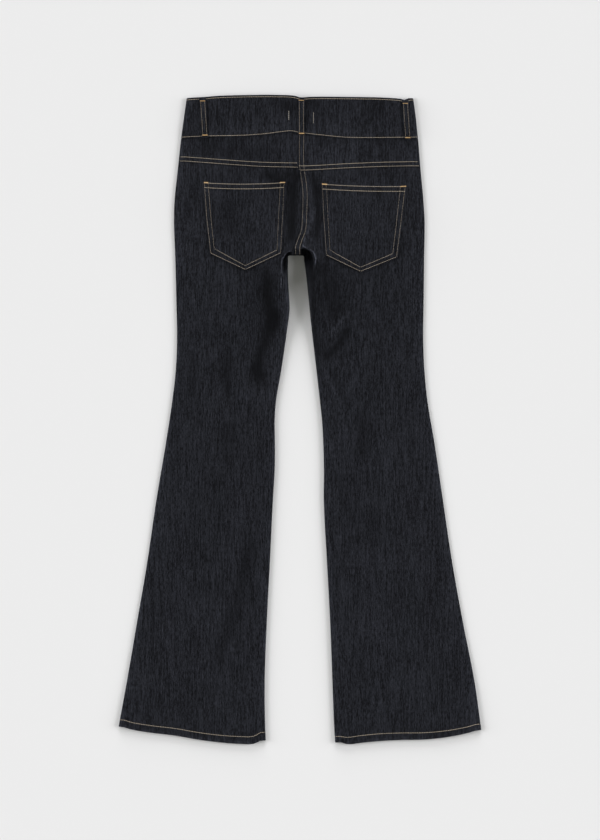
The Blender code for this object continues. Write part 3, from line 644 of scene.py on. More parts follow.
def leg_height(side, across, down):
    """Outer face of a back leg panel."""
    height = cloth(across, down)
    height = height + seat_seam(side, across, down) * (1.0 - ease((down - SEAM_END) / SEAM_FADE))
    height = height + under_edge(down - yoke_edge(side, across))
    above_hem = hem(side, hem_share(side, across, down)) - down
    near = 1.0 - ease((above_hem - 14.0) / 10.0)
    fold = 0.35 * (1.0 - ease((above_hem - 9.5) / 2.5)) + sewn(above_hem, across, (10.0,))
    roped = 0.3 * roping(across, 0.35 * above_hem)
    return height + near * (fold + roped * bell(above_hem - 4.0, 6.0))


def yoke_height(side, across, down):
    height = cloth(across, down) + seat_seam(side, across, down)
    from_seam = yoke_edge(side, across) - down
    height = height + lapped_edge(from_seam) + sewn(from_seam, across, (NEAR_ROW, FAR_ROW))
    return height + under_edge(down - band_bottom(across))


def band_height(across, down):
    """Outer face of the waistband on the back."""
    height = cloth(across, down) + BAND_STEP
    height = height + sewn(band_bottom(across) - down, across, (BAND_ROW,))
    return height + sewn(down - band_top(across), across + 40.0, (BAND_ROW,))


def pocket_hem_down(side, across):
    """Top edge of a pocket."""
    shape = POCKET_OUTLINES[side]
    (x0, d0), (x1, d1) = shape["hem_outer"], shape["hem_inner"]
    part = np.clip((across - x0) / (x1 - x0), 0.0, 1.0)
    return mix(d0, d1, part) + 4.0 * shape["hem_sag"] * part * (1.0 - part)


def pocket_inset(side, across, down):
    """Distance inside a pocket's outline."""
    shape = POCKET_OUTLINES[side]
    foot = (shape["hem_outer"], shape["foot_outer"], shape["point"], shape["foot_inner"], shape["hem_inner"])
    return np.minimum(nearest_on(across, down, foot)[0], down - pocket_hem_down(side, across))


def pocket_height(side, across, down):
    """Outer face of a pocket, on top of the leg panel."""
    inset = pocket_inset(side, across, down)
    below_hem = down - pocket_hem_down(side, across)
    allowance = np.maximum(1.0 - ease((inset - 8.8) / 3.0), 1.0 - ease((below_hem - POCKET_HEM) / 2.6))
    height = cloth(across, down) + LAY_GAP + DENIM + 0.55 * allowance
    height = height - (DENIM + 0.95) * np.exp(-np.maximum(inset, 0.0) / 0.4)
    for line in POCKET_ROWS[side]:
        away = nearest_on(across, down, line)[0]
        pucker = np.sin(0.83 * (across + 1.1 * down)) + 0.7 * np.sin(0.51 * (across - 1.3 * down) + 1.0)
        height = height - STITCH_DENT * bell(away, DENT_WIDTH) + 0.08 * pucker * bell(away, 3.5)
    return height + sewn(below_hem, across, (1.4, 9.8)) * (1.0 - ease((below_hem - 14.0) / 3.0))


def bridge_length(side):
    """Straight part of the crotch fold, from the seam to the corner."""
    return abs(float(inner_edge(side, CROTCH)) - SEAM_FOOT) - CORNER_RADIUS


def inner_station(side, distance):
    """Point and inward direction on the inner fold, at a distance from the crotch seam."""
    out = OUTWARD[side]
    straight = bridge_length(side)
    corner = 0.5 * math.pi * CORNER_RADIUS
    if distance <= straight:
        return (SEAM_FOOT + out * distance, CROTCH), (0.0, -1.0)
    if distance <= straight + corner:
        turn = (distance - straight) / CORNER_RADIUS
        x = SEAM_FOOT + out * (straight + CORNER_RADIUS * math.sin(turn))
        down = CROTCH + CORNER_RADIUS * (1.0 - math.cos(turn))
        return (x, down), (out * math.sin(turn), -math.cos(turn))
    down = CROTCH + CORNER_RADIUS + distance - straight - corner
    x = float(inner_edge(side, down))
    slant = (float(inner_edge(side, down + 1.0)) - x) * float(ease((distance - straight - corner) / 16.0))
    size = math.hypot(1.0, slant)
    return (x, down), (out / size, -out * slant / size)


def distance_to(side, down):
    """Distance along the inner fold to a point of the leg's inner edge."""
    return bridge_length(side) + 0.5 * math.pi * CORNER_RADIUS + down - CROTCH - CORNER_RADIUS


def fold_strip(edge, inward, width, height_at, depth=0.0, radius=FOLD_RADIUS, margin=UNDER_MARGIN, **shape):
    """Points round a folded edge as (across, down, height), from the top sheet's rim to the margin below.

    depth moves the section into the cloth, for a hem's inner layer. shape may hold hollow, how far the
    rim is undercut, and level, the row's own line on the top sheet.
    """
    hollow = shape.get("hollow", 0.0)
    share = np.linspace(1.0, 0.0, UPPER_STEPS + 1) ** 1.5
    turn = np.linspace(0.0, 0.5 * math.pi, LOWER_STEPS + 1)[1:]
    turn_radius = max(radius - depth, 0.3)
    insets = [width * share, turn_radius * (1.0 - np.cos(turn))]
    if margin > radius:
        insets.append(np.linspace(turn_radius, margin - depth, MARGIN_STEPS + 1)[1:])
    inset = np.concatenate(insets) + depth
    across = edge[0] + inward[0] * inset
    down = edge[1] + inward[1] * inset
    climb = rounded(share)
    count = len(share)
    if "level" in shape:
        down[:count] = mix(down[:count], shape["level"](across[:count]), climb)
    if hollow > 0.0:
        steep = 0.14 * climb + 0.86 * ease((share - 0.66) / 0.24)
        steep += RIM_LIP * bell(share - 0.9, 0.07)
        climb = mix(climb, steep, hollow)
    base = underside(edge[0], edge[1]) + depth
    top = height_at(across[:count], down[:count]) - depth
    turned = base + turn_radius * (1.0 - np.sin(turn))
    level = underside(across, down)[count + len(turned) :] + depth
    upper = base + turn_radius + np.maximum(top - base - turn_radius, 0.4) * climb
    return np.stack([across, down, np.concatenate([upper, turned, level])], axis=1)


def outer_strip(side, down, inward, height_at, depth=0.0, raised=False, **shape):
    """Section of the side fold at one row, from its margin up to the top sheet."""
    x = float(outer_edge(side, down))
    width = float(column(OUTER_ROLL, 1, down))
    if raised:
        radius, margin = BAND_FOLD_RADIUS, BAND_FOLD_RADIUS
    else:
        pressed = 0.5 * (float(column(SIDE_LOFT, 1, down)) - REST)
        radius, margin = min(FOLD_RADIUS, pressed), UNDER_MARGIN
    return fold_strip((x, down), inward, width, height_at, depth, radius, margin, **shape)[::-1]


def inner_strip(side, distance, height_at, depth=0.0):
    edge, inward = inner_station(side, distance)
    index = 1 + SIDES.index(side)
    width = float(column(INNER_ROLL, index, distance))
    hollow = float(np.clip(column(HOLLOW, index, distance), 0.0, 1.0))
    return fold_strip(edge, inward, width, height_at, depth, hollow=hollow)


def stations(length, step, last=True):
    """Distances from 0 to length, close together near the start and, if asked for, near the end."""
    end = [length - e for e in reversed(FINE) if last or e == 0.0]
    count = max(1, round((end[0] - FINE[-1]) / step))
    between = [mix(FINE[-1], end[0], k / count) for k in range(1, count)]
    return np.array([*FINE, *between, *end])


def direction(start, end):
    size = math.hypot(end[0] - start[0], end[1] - start[1])
    return (end[0] - start[0]) / size, (end[1] - start[1]) / size


def column_shares(width):
    """Columns of a panel, close together near its inner end."""
    last = np.array([1.0 - e / width for e in reversed(FINE)])
    return np.concatenate([np.linspace(0.0, last[0], PANEL_COLUMNS)[:-1], last])[1:-1]


def ragged(rows):
    """One array of rows; the shorter ones end in NaN."""
    grid = np.full((len(rows), max(len(row) for row in rows), 3), np.nan)
    for row, points in zip(grid, rows):
        row[: len(points)] = points
    return grid


def seat_row(side, outer_down, seam_down, level, height_at):
    """Row above the crotch, from the margin at the side to the centre back seam.

    level gives the row's line as down at any across.
    """
    end = (float(back_seam(seam_down)) + OUTWARD[side] * 0.5 * SEAM_GAP, seam_down)
    start = (float(outer_edge(side, outer_down)), outer_down)
    strip = outer_strip(side, outer_down, direction(start, end), height_at, level=level)
    across = mix(strip[-1][0], end[0], column_shares(abs(end[0] - strip[-1][0])))
    across = np.append(across, end[0])
    down = level(across)
    return np.concatenate([strip, np.stack([across, down, height_at(across, down)], axis=1)])


def leg_row(side, outer_down, distance, bow=None, depth=0.0, lift=0.0):
    """Row of a back leg panel below the crotch seam, from margin to margin."""
    height_at = partial(leg_height, side)
    inner = inner_strip(side, distance, height_at, depth)
    start = (float(outer_edge(side, outer_down)), outer_down)
    strip = outer_strip(side, outer_down, direction(start, inner[0]), height_at, depth)
    shares = column_shares(abs(inner[0][0] - strip[-1][0]))
    across = mix(strip[-1][0], inner[0][0], shares)
    down = mix(strip[-1][1], inner[0][1], shares)
    if bow is not None:
        down = down + bow(shares)
    down = down - lift * crotch_lift(across, inner[0][0])
    sheet = np.stack([across, down, height_at(across, down) - depth], axis=1)
    return np.concatenate([strip, sheet, inner])


def hem_drop(side, level, share, above=None):
    """How far below its level a row lies near the hem, at a share of the width."""
    blend = ease((level - HEM_BLEND[0]) / (HEM_BLEND[1] - HEM_BLEND[0]))
    drop = hem(side, share) - HEM_LEVEL
    if above is not None:
        drop = drop - above(share)
    return blend * drop


def level_row(side, level, depth=0.0, above=None):
    """Row of a back leg panel at a level; near the hem it takes the hem's own line."""
    ends = level + hem_drop(side, level, np.array([0.0, 1.0]), above)

    def bow(share):
        return level + hem_drop(side, level, share, above) - mix(ends[0], ends[1], share)

    return leg_row(side, float(ends[0]), distance_to(side, float(ends[1])), bow, depth)


def hem_levels(coarse, turn_steps):
    """Levels and depths of the rows from the thigh to the hem, over its turn and up inside."""
    levels = [(level, 0.0) for level in np.arange(LEG_START, HEM_LEVEL - 14.0, coarse)]
    levels += [(HEM_LEVEL - above, 0.0) for above in HEM_ROWS]
    for turn in np.linspace(0.0, math.pi, turn_steps):
        level = HEM_LEVEL - HEM_ROLL + HEM_ROLL * math.sin(turn)
        levels.append((level, HEM_ROLL * (1.0 - math.cos(turn))))
    return levels + [(HEM_LEVEL - above, 2.0 * HEM_ROLL) for above in HEM_INSIDE_ROWS]


def crotch_stations(side, fine, coarse, corner_share, corner_down):
    """Rows from the crotch seam to the thigh: down at the outer edge, distance on the inner fold.

    The row at a share of the crotch's corner has its outer end at corner_down.
    """
    straight = bridge_length(side)
    corner_end = straight + 0.5 * math.pi * CORNER_RADIUS
    knots = [(0.0, SEAT_END), (mix(straight, corner_end, corner_share), corner_down)]
    knots += [(corner_end + more, down) for more, down in CROTCH_ROWS]
    bridge = np.linspace(0.0, straight, max(3, round(straight / fine)))
    corner = np.linspace(straight, corner_end, max(8, round(18.0 / fine)))[1:]
    near = np.arange(corner_end + 0.8 * fine, corner_end + 26.0, fine)
    far = np.arange(near[-1] + coarse, corner_end + 36.0, coarse)
    distances = np.concatenate([bridge, corner, near, far])
    downs = np.interp(distances, *zip(*knots))
    return list(zip(downs.tolist(), distances.tolist()))


def crotch_lift(across, end):
    """How far a row bends up from its inner end, so that the rows fan out round the crotch's corner."""
    rise = FAN_REACH * (1.0 - np.exp(-np.abs(across - end) / FAN_REACH))
    return rise * (1.0 - ease((np.abs(across - SEAM_FOOT) - 55.0) / 105.0))


def fan(side, distance):
    """Share of the fan's bend at a row that ends on the inner fold."""
    start = 0.5 * bridge_length(side)
    end = bridge_length(side) + 0.5 * math.pi * CORNER_RADIUS + 9.0
    return 1.0 - float(ease((distance - start) / (end - start)))


def back_leg_grid(side):
    """Outer face of a back leg panel, and the hem turned up inside it, as a grid of points."""
    seam_top = YOKE_CENTRE[side] + 0.5 * SEAM_GAP
    seam_end = CROTCH - INNER_ROLL[0][1]
    side_top = YOKE_SIDE[side] + 0.5 * SEAM_GAP
    length = seam_end - seam_top
    rows = []
    upper = stations(length - 14.0, 3.2, last=False)
    for distance in [*upper, *np.arange(length - 13.0, length - 0.5, 1.0)]:
        share = distance / length
        seam_down = seam_top + distance
        outer_down = mix(side_top, SEAT_END, share)
        outer = float(outer_edge(side, outer_down))
        middle = float(back_seam(seam_down))

        def level(across):
            part = np.clip((across - outer) / (middle - outer), 0.0, 1.0)
            curve = yoke_edge(side, across) + 0.5 * SEAM_GAP - mix(side_top, seam_top, part)
            line = mix(outer_down, seam_down, part) + (1.0 - ease(2.0 * share)) * curve
            return line - ease(share) * crotch_lift(across, middle)

        rows.append(seat_row(side, outer_down, seam_down, level, partial(leg_height, side)))
    for outer_down, distance in crotch_stations(side, 0.9, 2.0, 0.5, 256.0):
        rows.append(leg_row(side, outer_down, distance, lift=fan(side, distance)))
    for level, depth in hem_levels(3.5, 9):
        rows.append(level_row(side, level, depth))
    return ragged(rows)


def yoke_row(side, share, offset=0.0):
    """Row of half a yoke at a share of its depth, moved down by an offset."""

    def level(across):
        upper = band_bottom(across) + SEAM_GAP
        lower = yoke_edge(side, across) - 0.5 * SEAM_GAP
        return mix(upper, lower, share) + offset

    outer_down = float(level(outer_edge(side, SIDE_TOP)))
    seam_down = float(level(back_seam(90.0)))
    return seat_row(side, outer_down, seam_down, level, partial(yoke_height, side))


def yoke_grid(side):
    rows = [yoke_row(side, 0.0, e) for e in FINE[:6]]
    rows += [yoke_row(side, share) for share in np.linspace(0.12, 0.68, 10)]
    rows += [yoke_row(side, 1.0, -e) for e in reversed(FINE)]
    return ragged(rows)


def front_leg_grid(side):
    """Front leg panel, flat under the back one, with its hem turned up inside."""
    out = OUTWARD[side]
    reach = UNDER_MARGIN + SEAM_GAP
    shares = np.linspace(0.0, 1.0, FRONT_COLUMNS)
    top = SIDE_TOP + float(front_dip(FRONT_EDGE))
    rows = []
    for share in np.linspace(0.0, 1.0, FRONT_ROWS + 1)[:-1]:
        outer_down = mix(SIDE_TOP, SEAT_END, share)
        seam_down = mix(top, CROTCH - reach, share)
        start = float(outer_edge(side, outer_down)) - out * reach
        end = float(front_seam(seam_down)) + out * 0.5 * SEAM_GAP
        across = mix(start, end, shares)
        dip = SIDE_TOP + front_dip(across) - mix(SIDE_TOP, top, shares) + SEAM_GAP
        down = mix(outer_down, seam_down, shares) + (1.0 - ease(share)) * dip
        rows.append((across, down, 0.0))
    around = crotch_stations(side, 4.0, 4.0, 0.0, CROTCH - reach - 0.1)
    levels = [(down, distance, None, 0.0) for down, distance in around]
    for level, depth in hem_levels(9.0, 7):
        ends = level + hem_drop(side, level, np.array([0.0, 1.0]))
        bow = level + hem_drop(side, level, shares) - mix(ends[0], ends[1], shares) - 1.0
        levels.append((float(ends[0]), distance_to(side, float(ends[1])), bow, depth))
    for outer_down, distance, bow, depth in levels:
        (x, down), (in_x, in_down) = inner_station(side, distance)
        end = (x + in_x * reach, down + in_down * reach)
        outer = (float(outer_edge(side, outer_down)), outer_down)
        inward = direction(outer, (x, down))
        start = (outer[0] + inward[0] * reach, outer[1] + inward[1] * reach)
        row_down = mix(start[1], end[1], shares)
        if bow is not None:
            row_down = row_down + bow
        rows.append((mix(start[0], end[0], shares), row_down, depth))
    grid = []
    for across, down, depth in rows:
        grid.append(np.stack([across, down, underside(across, down) + depth], axis=1))
    return ragged(grid)


def band_face(share, offset):
    """The waistband's outer face at one level, from its left front end round the back to its right one."""

    def back_level(across):
        return mix(band_top(across), band_bottom(across), share) + offset

    def front(side, across, lift):
        top = band_top(outer_edge(side, 0.0)) + front_dip(across)
        down = mix(top, SIDE_TOP + front_dip(across), share) + offset
        return np.stack([across, down, underside(across, down) + lift], axis=1)

    folds = {}
    for side in SIDES:
        down = float(back_level(outer_edge(side, SIDE_TOP)))
        inward = (-OUTWARD[side], 0.0)
        folds[side] = outer_strip(side, down, inward, band_height, raised=True, level=back_level)
    left = np.linspace(BAND_LEFT_END, folds["left"][0][0] + 5.0, 70)
    right = np.linspace(folds["right"][0][0] - 5.0, BAND_RIGHT_END, 110)
    lap = 1.0 - ease((right - BAND_LAP_EDGE) / (BAND_LAP_FOOT - BAND_LAP_EDGE))
    across = np.linspace(folds["left"][-1][0], folds["right"][-1][0], 170)[1:-1]
    down = back_level(across)
    back = np.stack([across, down, band_height(across, down)], axis=1)
    parts = [front("left", left, 0.0), folds["left"], back, folds["right"][::-1]]
    return np.concatenate([*parts, front("right", right, (BAND_THICKNESS + SEAM_GAP) * lap)])


def unit(vectors):
    return vectors / np.maximum(np.linalg.norm(vectors, axis=-1, keepdims=True), 1e-9)


def face_normals(row_at):
    """Outward directions on a row of a face; row_at gives the row moved down by an offset."""
    along = np.gradient(row_at(0.0), axis=0)
    return unit(np.cross(along, row_at(0.4) - row_at(-0.4)))


def band_normals(share, offset):
    return face_normals(lambda shift: band_face(share, offset + shift))


def band_grid():
    """The waistband as a closed slab with round edges: rows go round its section."""
    radius = 0.5 * BAND_THICKNESS
    turns = np.linspace(0.5 * math.pi, -0.5 * math.pi, 9)
    section = [(0.0, radius * (1.0 - math.cos(a)), radius * (1.0 + math.sin(a))) for a in turns]
    section += [(0.0, e, 0.0) for e in BAND_EDGE_ROWS]
    section += [(share, 0.0, 0.0) for share in np.linspace(0.18, 0.82, 14)]
    section += [(1.0, -e, 0.0) for e in reversed(BAND_EDGE_ROWS)]
    section += [(1.0, -radius * (1.0 - math.cos(a)), radius * (1.0 + math.sin(a))) for a in turns[::-1]]
    section += [(share, 0.0, BAND_THICKNESS) for share in (0.85, 0.6, 0.35, 0.12)]
    rows = []
    for share, offset, depth in section:
        rows.append(band_face(share, offset) - depth * band_normals(share, offset))
    return np.array(rows)


def pocket_grid(side):
    """Outer face of a pocket, from its hem to its pointed foot."""
    shape = POCKET_OUTLINES[side]
    length = shape["foot_outer"][1] - shape["hem_outer"][1]
    depths = stations(length, 3.0) / length
    rows = []
    for depth in depths:
        outer = [mix(a, b, depth) for a, b in zip(shape["hem_outer"], shape["foot_outer"])]
        inner = [mix(a, b, depth) for a, b in zip(shape["hem_inner"], shape["foot_inner"])]
        width = abs(outer[0] - inner[0])
        half = stations(0.5 * width, 3.0, last=False) / width
        part = np.concatenate([half, 1.0 - half[-2::-1]])
        drop = shape["point"][1] - mix(outer[1], inner[1], 0.5)
        sag = (1.0 - depth) * shape["hem_sag"] * 4.0 * part * (1.0 - part)
        bend = depth * ease(depth) * drop * (1.0 - np.abs(2.0 * part - 1.0))
        across = mix(outer[0], inner[0], part)
        down = mix(outer[1], inner[1], part) + sag + bend
        rows.append(np.stack([across, down, pocket_height(side, across, down)], axis=1))
    return rows_of_one_length(rows)


def rows_of_one_length(rows):
    """Rows with the same number of points, by resampling the ones that have fewer."""
    count = max(len(row) for row in rows)
    even = []
    for row in rows:
        places = np.linspace(0.0, len(row) - 1.0, count)
        even.append(np.stack([np.interp(places, np.arange(len(row)), row[:, k]) for k in range(3)], axis=1))
    return np.array(even)


def world(points):
    """Places on the cloth, as (across, down, height), in metres in the frame."""
    points = np.asarray(points, float)
    return np.stack([points[..., 0] + SHIFT_X, TOP_Y - points[..., 1], points[..., 2]], axis=-1) * MM


def grid_mesh(name, points, flip=False, closed=False, wear_and_light=False):
    """Quads through a grid of points; a corner that isn't there (NaN) leaves out its faces.

    If asked, it stores on each point how much paler or darker the back's cloth is painted there: painted
    light and shade, and some wear.
    """
    there = ~np.isnan(points[..., 0])
    index = np.cumsum(there).reshape(there.shape) - 1
    if closed:
        there_next = np.vstack([there, there[:1]])
        index = np.vstack([index, index[:1]])
    else:
        there_next = there
    whole = there_next[:-1, :-1] & there_next[1:, :-1] & there_next[1:, 1:] & there_next[:-1, 1:]
    corners = [index[:-1, :-1], index[1:, :-1], index[1:, 1:], index[:-1, 1:]]
    if flip:
        corners.reverse()
    faces = np.stack([corner[whole] for corner in corners], axis=1).tolist()
    if closed:
        for cap in (index[:-1, 0], index[:-1, -1][::-1]):
            faces.append(cap[::-1].tolist() if flip else cap.tolist())
    mesh = bpy.data.meshes.new(name)
    mesh.from_pydata(world(points[there]).tolist(), [], faces)
    if wear_and_light:
        paler = mesh.attributes.new("wear_and_painted_light", "FLOAT", "POINT")
        across, down, height = points[there].T
        on_top = height > WEAR_AND_LIGHT_ABOVE
        paler.data.foreach_set("value", (on_top * wear_and_painted_light(across, down)).astype(np.float32))
    return mesh


def add_piece(name, mesh, finishes, slot, *nodes):
    """Show a mesh as a piece of the jeans, in the place of the given solids."""
    piece = bpy.data.objects.new(name, mesh)
    for finish in finishes:
        mesh.materials.append(finish)
    mesh.shade_smooth()
    bpy.context.scene.collection.objects.link(piece)
    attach(piece, "root")
    if nodes:
        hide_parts(*nodes)
    return piece


def thicken(piece, thickness):
    wall = piece.modifiers.new("wall", "SOLIDIFY")
    wall.thickness = thickness * MM
    wall.offset = -1.0
    wall.use_quality_normals = True
    wall.material_offset = 1
    wall.material_offset_rim = 0


def loop_middle(place, share):
    """Middle of a back belt loop at a share of its length: across, down."""
    top_across, bottom_across, top, bottom = BACK_LOOPS[place]
    return mix(top_across, bottom_across, share), mix(top, bottom, share)


def loop_arch(share):
    return LOOP_ARCH * ease(4.0 * np.minimum(share, 1.0 - share))


def loop_back(across, down, share):
    """Inner face of a back belt loop, at a share of its length."""
    return cloth(across, down) + BAND_STEP + LOOP_LIFT + loop_arch(share)


def loop_height(place, across, down):
    """Outer face of a back belt loop."""
    top, bottom = BACK_LOOPS[place][2:]
    share = np.clip((down - top) / (bottom - top), 0.0, 1.0)
    aside = across - loop_middle(place, share)[0]
    end = np.minimum(down - top, bottom - down)
    crown = 0.15 * (1.0 - (2.0 * aside / LOOP_WIDTH) ** 2) - 0.12 * bell(np.abs(aside) - LOOP_STITCH, 0.7)
    return loop_back(across, down, share) + LOOP_THICKNESS * rounded(end / LOOP_END) + crown


def loop_section():
    """Places round a belt loop's section: aside of its middle, share of its thickness."""
    half = 0.5 * LOOP_WIDTH
    corner = 0.7
    face = np.linspace(half - corner, corner - half, 15)
    turn = np.linspace(0.5 * math.pi, -0.5 * math.pi, 7)[1:-1]
    section = [(x, 1.0) for x in face]
    section += [(corner - half - corner * math.cos(a), 0.5 + 0.5 * math.sin(a)) for a in turn]
    section += [(x, 0.0) for x in face[::-3]]
    section += [(half - corner + corner * math.cos(a), 0.5 + 0.5 * math.sin(a)) for a in turn[::-1]]
    return section


def loop_grid(length, middle, outer, inner):
    """Closed strip: middle, outer and inner give its line and its two faces at a place."""
    ends = (0.0, 0.1, 0.3, 0.6, 0.9, 1.5, 2.4, 3.4)
    along = np.array([*ends, *np.linspace(5.0, length - 5.0, 24), *(length - e for e in reversed(ends))])
    rows = []
    for aside, part in loop_section():
        across, down = middle(along / length)
        across = across + aside
        low = inner(across, down, along / length)
        high = outer(across, down, along / length)
        rows.append(np.stack([across, down, mix(low, high, part)], axis=1))
    return np.array(rows)


def add_loop(name, finish, length, middle, outer, inner, flip=False):
    mesh = grid_mesh(name, loop_grid(length, middle, outer, inner), flip=flip, closed=True)
    return add_piece(name + "_cloth", mesh, [finish], "denim", name)


def add_back_loop(place, denim):
    top, bottom = BACK_LOOPS[place][2:]

    def middle(share):
        return loop_middle(place, share)

    def outer(across, down, share):
        return np.maximum(loop_height(place, across, down), loop_back(across, down, share))

    return add_loop("belt_loop_back_" + place, denim, bottom - top, middle, outer, loop_back)


def front_loop_ends(side):
    """Down at the top and the bottom of a front belt loop."""
    dip = float(front_dip(FRONT_LOOP_ACROSS))
    return float(band_top(outer_edge(side, 0.0))) + dip + 1.0, SIDE_TOP + dip - 1.0


def front_loop_face(across, down):
    return underside(across, down) - SEAM_GAP - LOOP_THICKNESS


def add_front_loop(side, denim):
    top, bottom = front_loop_ends(side)

    def middle(share):
        return OUTWARD[side] * FRONT_LOOP_ACROSS + 0.0 * share, mix(top, bottom, share)

    def outer(across, down, share):
        end = (bottom - top) * np.minimum(share, 1.0 - share)
        return inner(across, down, share) - LOOP_THICKNESS * rounded(end / LOOP_END)

    def inner(across, down, share):
        return underside(across, down) - SEAM_GAP

    return add_loop("belt_loop_front_" + side, denim, bottom - top, middle, outer, inner, flip=True)


class Sewing:
    """Stitches gathered for one mesh: short round threads, half sunk in the cloth."""

    def __init__(self):
        self.starts = []
        self.ends = []
        self.normals = []
        self.sizes = []

    def along(self, points, normals, size=1.0, pitch=PITCH, length=STITCH_LENGTH, phase=0.0):
        """A row of stitches along a line of points on the cloth; a small size is a thread pulled in."""
        steps = np.linalg.norm(np.diff(points, axis=0), axis=1)
        reach = np.concatenate([[0.0], np.cumsum(steps)])
        count = int((reach[-1] - length) / pitch) + 1
        spare = reach[-1] - (count - 1) * pitch - length
        first = 0.5 * spare + phase
        starts = first + pitch * np.arange(count)
        starts = starts[(starts >= 0.0) & (starts + length <= reach[-1])]

        def at(places, values):
            return np.stack([np.interp(places, reach, values[:, k]) for k in range(3)], axis=1)

        self.starts.append(at(starts, points))
        self.ends.append(at(starts + length, points))
        self.normals.append(unit(at(starts + 0.5 * length, normals)))
        self.sizes.append(np.full(len(starts), size))

    def path(self, line, height_at, facing=1.0, curved=False, **kind):
        """A row of stitches along a line of places (across, down) on a face."""
        places = spread(line, curved)
        self.along(*on_face(places, height_at, facing), **kind)

    def bartack(self, start, end, height_at, size=1.0):
        """A dense bar of short threads that lie across its line; a small size is a flat, rubbed-down one."""
        reach = math.dist(start, end)
        count = max(4, round(reach / 0.5))
        shares = (np.arange(count) + 0.5) / count
        middle = np.stack([mix(start[0], end[0], shares), mix(start[1], end[1], shares)], axis=1)
        across = np.array([-(end[1] - start[1]), end[0] - start[0]]) / reach
        lean = np.array([end[0] - start[0], end[1] - start[1]]) / reach * 0.2
        ends = []
        for way in (-0.5, 0.5):
            places = middle + way * (1.9 * size * across + lean)
            points, normals = on_face(places, height_at)
            ends.append(points + 0.25 * normals)
        self.starts.append(ends[0])
        self.ends.append(ends[1])
        self.normals.append(normals)
        self.sizes.append(np.full(count, size))

    def mesh(self, name, radius=THREAD_RADIUS):
        starts = np.concatenate(self.starts)
        ends = np.concatenate(self.ends)
        normals = np.concatenate(self.normals)
        radius = radius * np.concatenate(self.sizes)[:, None]
        axis = unit(ends - starts)
        aside = unit(np.cross(axis, normals))
        out = np.cross(aside, axis)
        out = np.where(np.sum(out * normals, axis=1, keepdims=True) < 0.0, -out, out)
        angles = 2.0 * math.pi * np.arange(6) / 6
        points = []
        for part, size, lift in THREAD_RINGS:
            centre = mix(starts, ends, part) + out * radius * lift
            for angle in angles:
                points.append(centre + radius * size * (math.cos(angle) * aside + math.sin(angle) * out))
        points = np.stack(points, axis=1)
        quads = []
        for ring in range(len(THREAD_RINGS) - 1):
            for k in range(6):
                n = (k + 1) % 6
                quads.append([6 * ring + k, 6 * ring + n, 6 * ring + 6 + n, 6 * ring + 6 + k])
        one = np.array(quads)
        faces = one[None] + (np.arange(len(starts)) * points.shape[1])[:, None, None]
        made = bpy.data.meshes.new(name)
        made.from_pydata(world(points.reshape(-1, 3)).tolist(), [], faces.reshape(-1, 4).tolist())
        return made


def spread(line, curved=False):
    """Places 0.5 mm apart along a line; curved rounds its corners."""
    line = np.array(line, float)
    steps = np.hypot(*np.diff(line, axis=0).T)
    reach = np.concatenate([[0.0], np.cumsum(steps)])
    places = np.linspace(0.0, reach[-1], max(3, int(reach[-1] / 0.5)))
    if not curved:
        return np.stack([np.interp(places, reach, line[:, k]) for k in range(2)], axis=1)
    tables = [tuple(zip(reach.tolist(), line[:, k].tolist())) for k in range(2)]
    return np.stack([column(table, 1, places) for table in tables], axis=1)


def on_face(places, height_at, facing=1.0):
    """Points and outward directions on a face at places (across, down)."""
    across, down = places[:, 0], places[:, 1]
    height = height_at(across, down)
    slope_across = (height_at(across + 0.6, down) - height_at(across - 0.6, down)) / 1.2
    slope_down = (height_at(across, down + 0.6) - height_at(across, down - 0.6)) / 1.2
    normals = np.stack([-slope_across, -slope_down, np.ones(len(places))], axis=1) * facing
    return np.stack([across, down, height], axis=1), unit(normals)


def seat_height(across, down):
    """Top face on the right of the centre back seam, over the yoke and the leg panel."""
    on_yoke = down < yoke_edge("right", across)
    height = np.where(on_yoke, yoke_height("right", across, down), leg_height("right", across, down))
    foot = FOLD_RADIUS + REST
    return foot + (height - foot) * rounded((CROTCH - down) / INNER_ROLL[0][1])


def sew_band():
    sewing = Sewing()
    sewing.along(band_face(0.0, 3.2), band_normals(0.0, 3.2), size=0.9)
    sewing.along(band_face(1.0, -BAND_ROW), band_normals(1.0, -BAND_ROW), size=0.85)
    return sewing


def sew_seat():
    """Double rows on the yoke seams and the centre back seam."""
    sewing = Sewing()
    for side in SIDES:
        for number, row in enumerate((NEAR_ROW, FAR_ROW)):

            def row_at(offset):
                return yoke_row(side, 1.0, offset - row)

            points, normals = row_at(0.0), face_normals(row_at)
            if side == "right":
                points, normals = points[::-1], normals[::-1]
            keep = points[:, 2] > 4.0
            sewing.along(points[keep], normals[keep], size=(0.82, 0.88)[number], phase=0.7 * number)
    for number, row in enumerate((NEAR_ROW, FAR_ROW)):
        upper = (float(band_bottom(0.0)) + 1.2, 222.0, (0.37, 0.44)[number])
        for top, foot, size in (upper, (222.5, 258.5, 0.56)):
            line = [(float(back_seam(down)) + row - 0.1, down) for down in np.linspace(top, foot, 40)]
            sewing.path(line, seat_height, curved=True, **{**PULLED_IN, "size": size})
    return sewing


def sew_hem(side):
    sewing = Sewing()
    index = 1 + SIDES.index(side)

    def row_at(offset):
        return level_row(side, HEM_LEVEL, above=lambda share: column(HEM_STITCH, index, share) - offset)

    sewing.along(row_at(0.0), face_normals(row_at) * (-1.0 if side == "right" else 1.0))
    shares = np.linspace(0.05, 0.95, 60)
    down = hem(side, shares) - column(HEM_STITCH, index, shares)
    across = mix(outer_edge(side, down), inner_edge(side, down), shares)
    sewing.path(list(zip(across.tolist(), down.tolist())), underside, facing=-1.0)
    return sewing


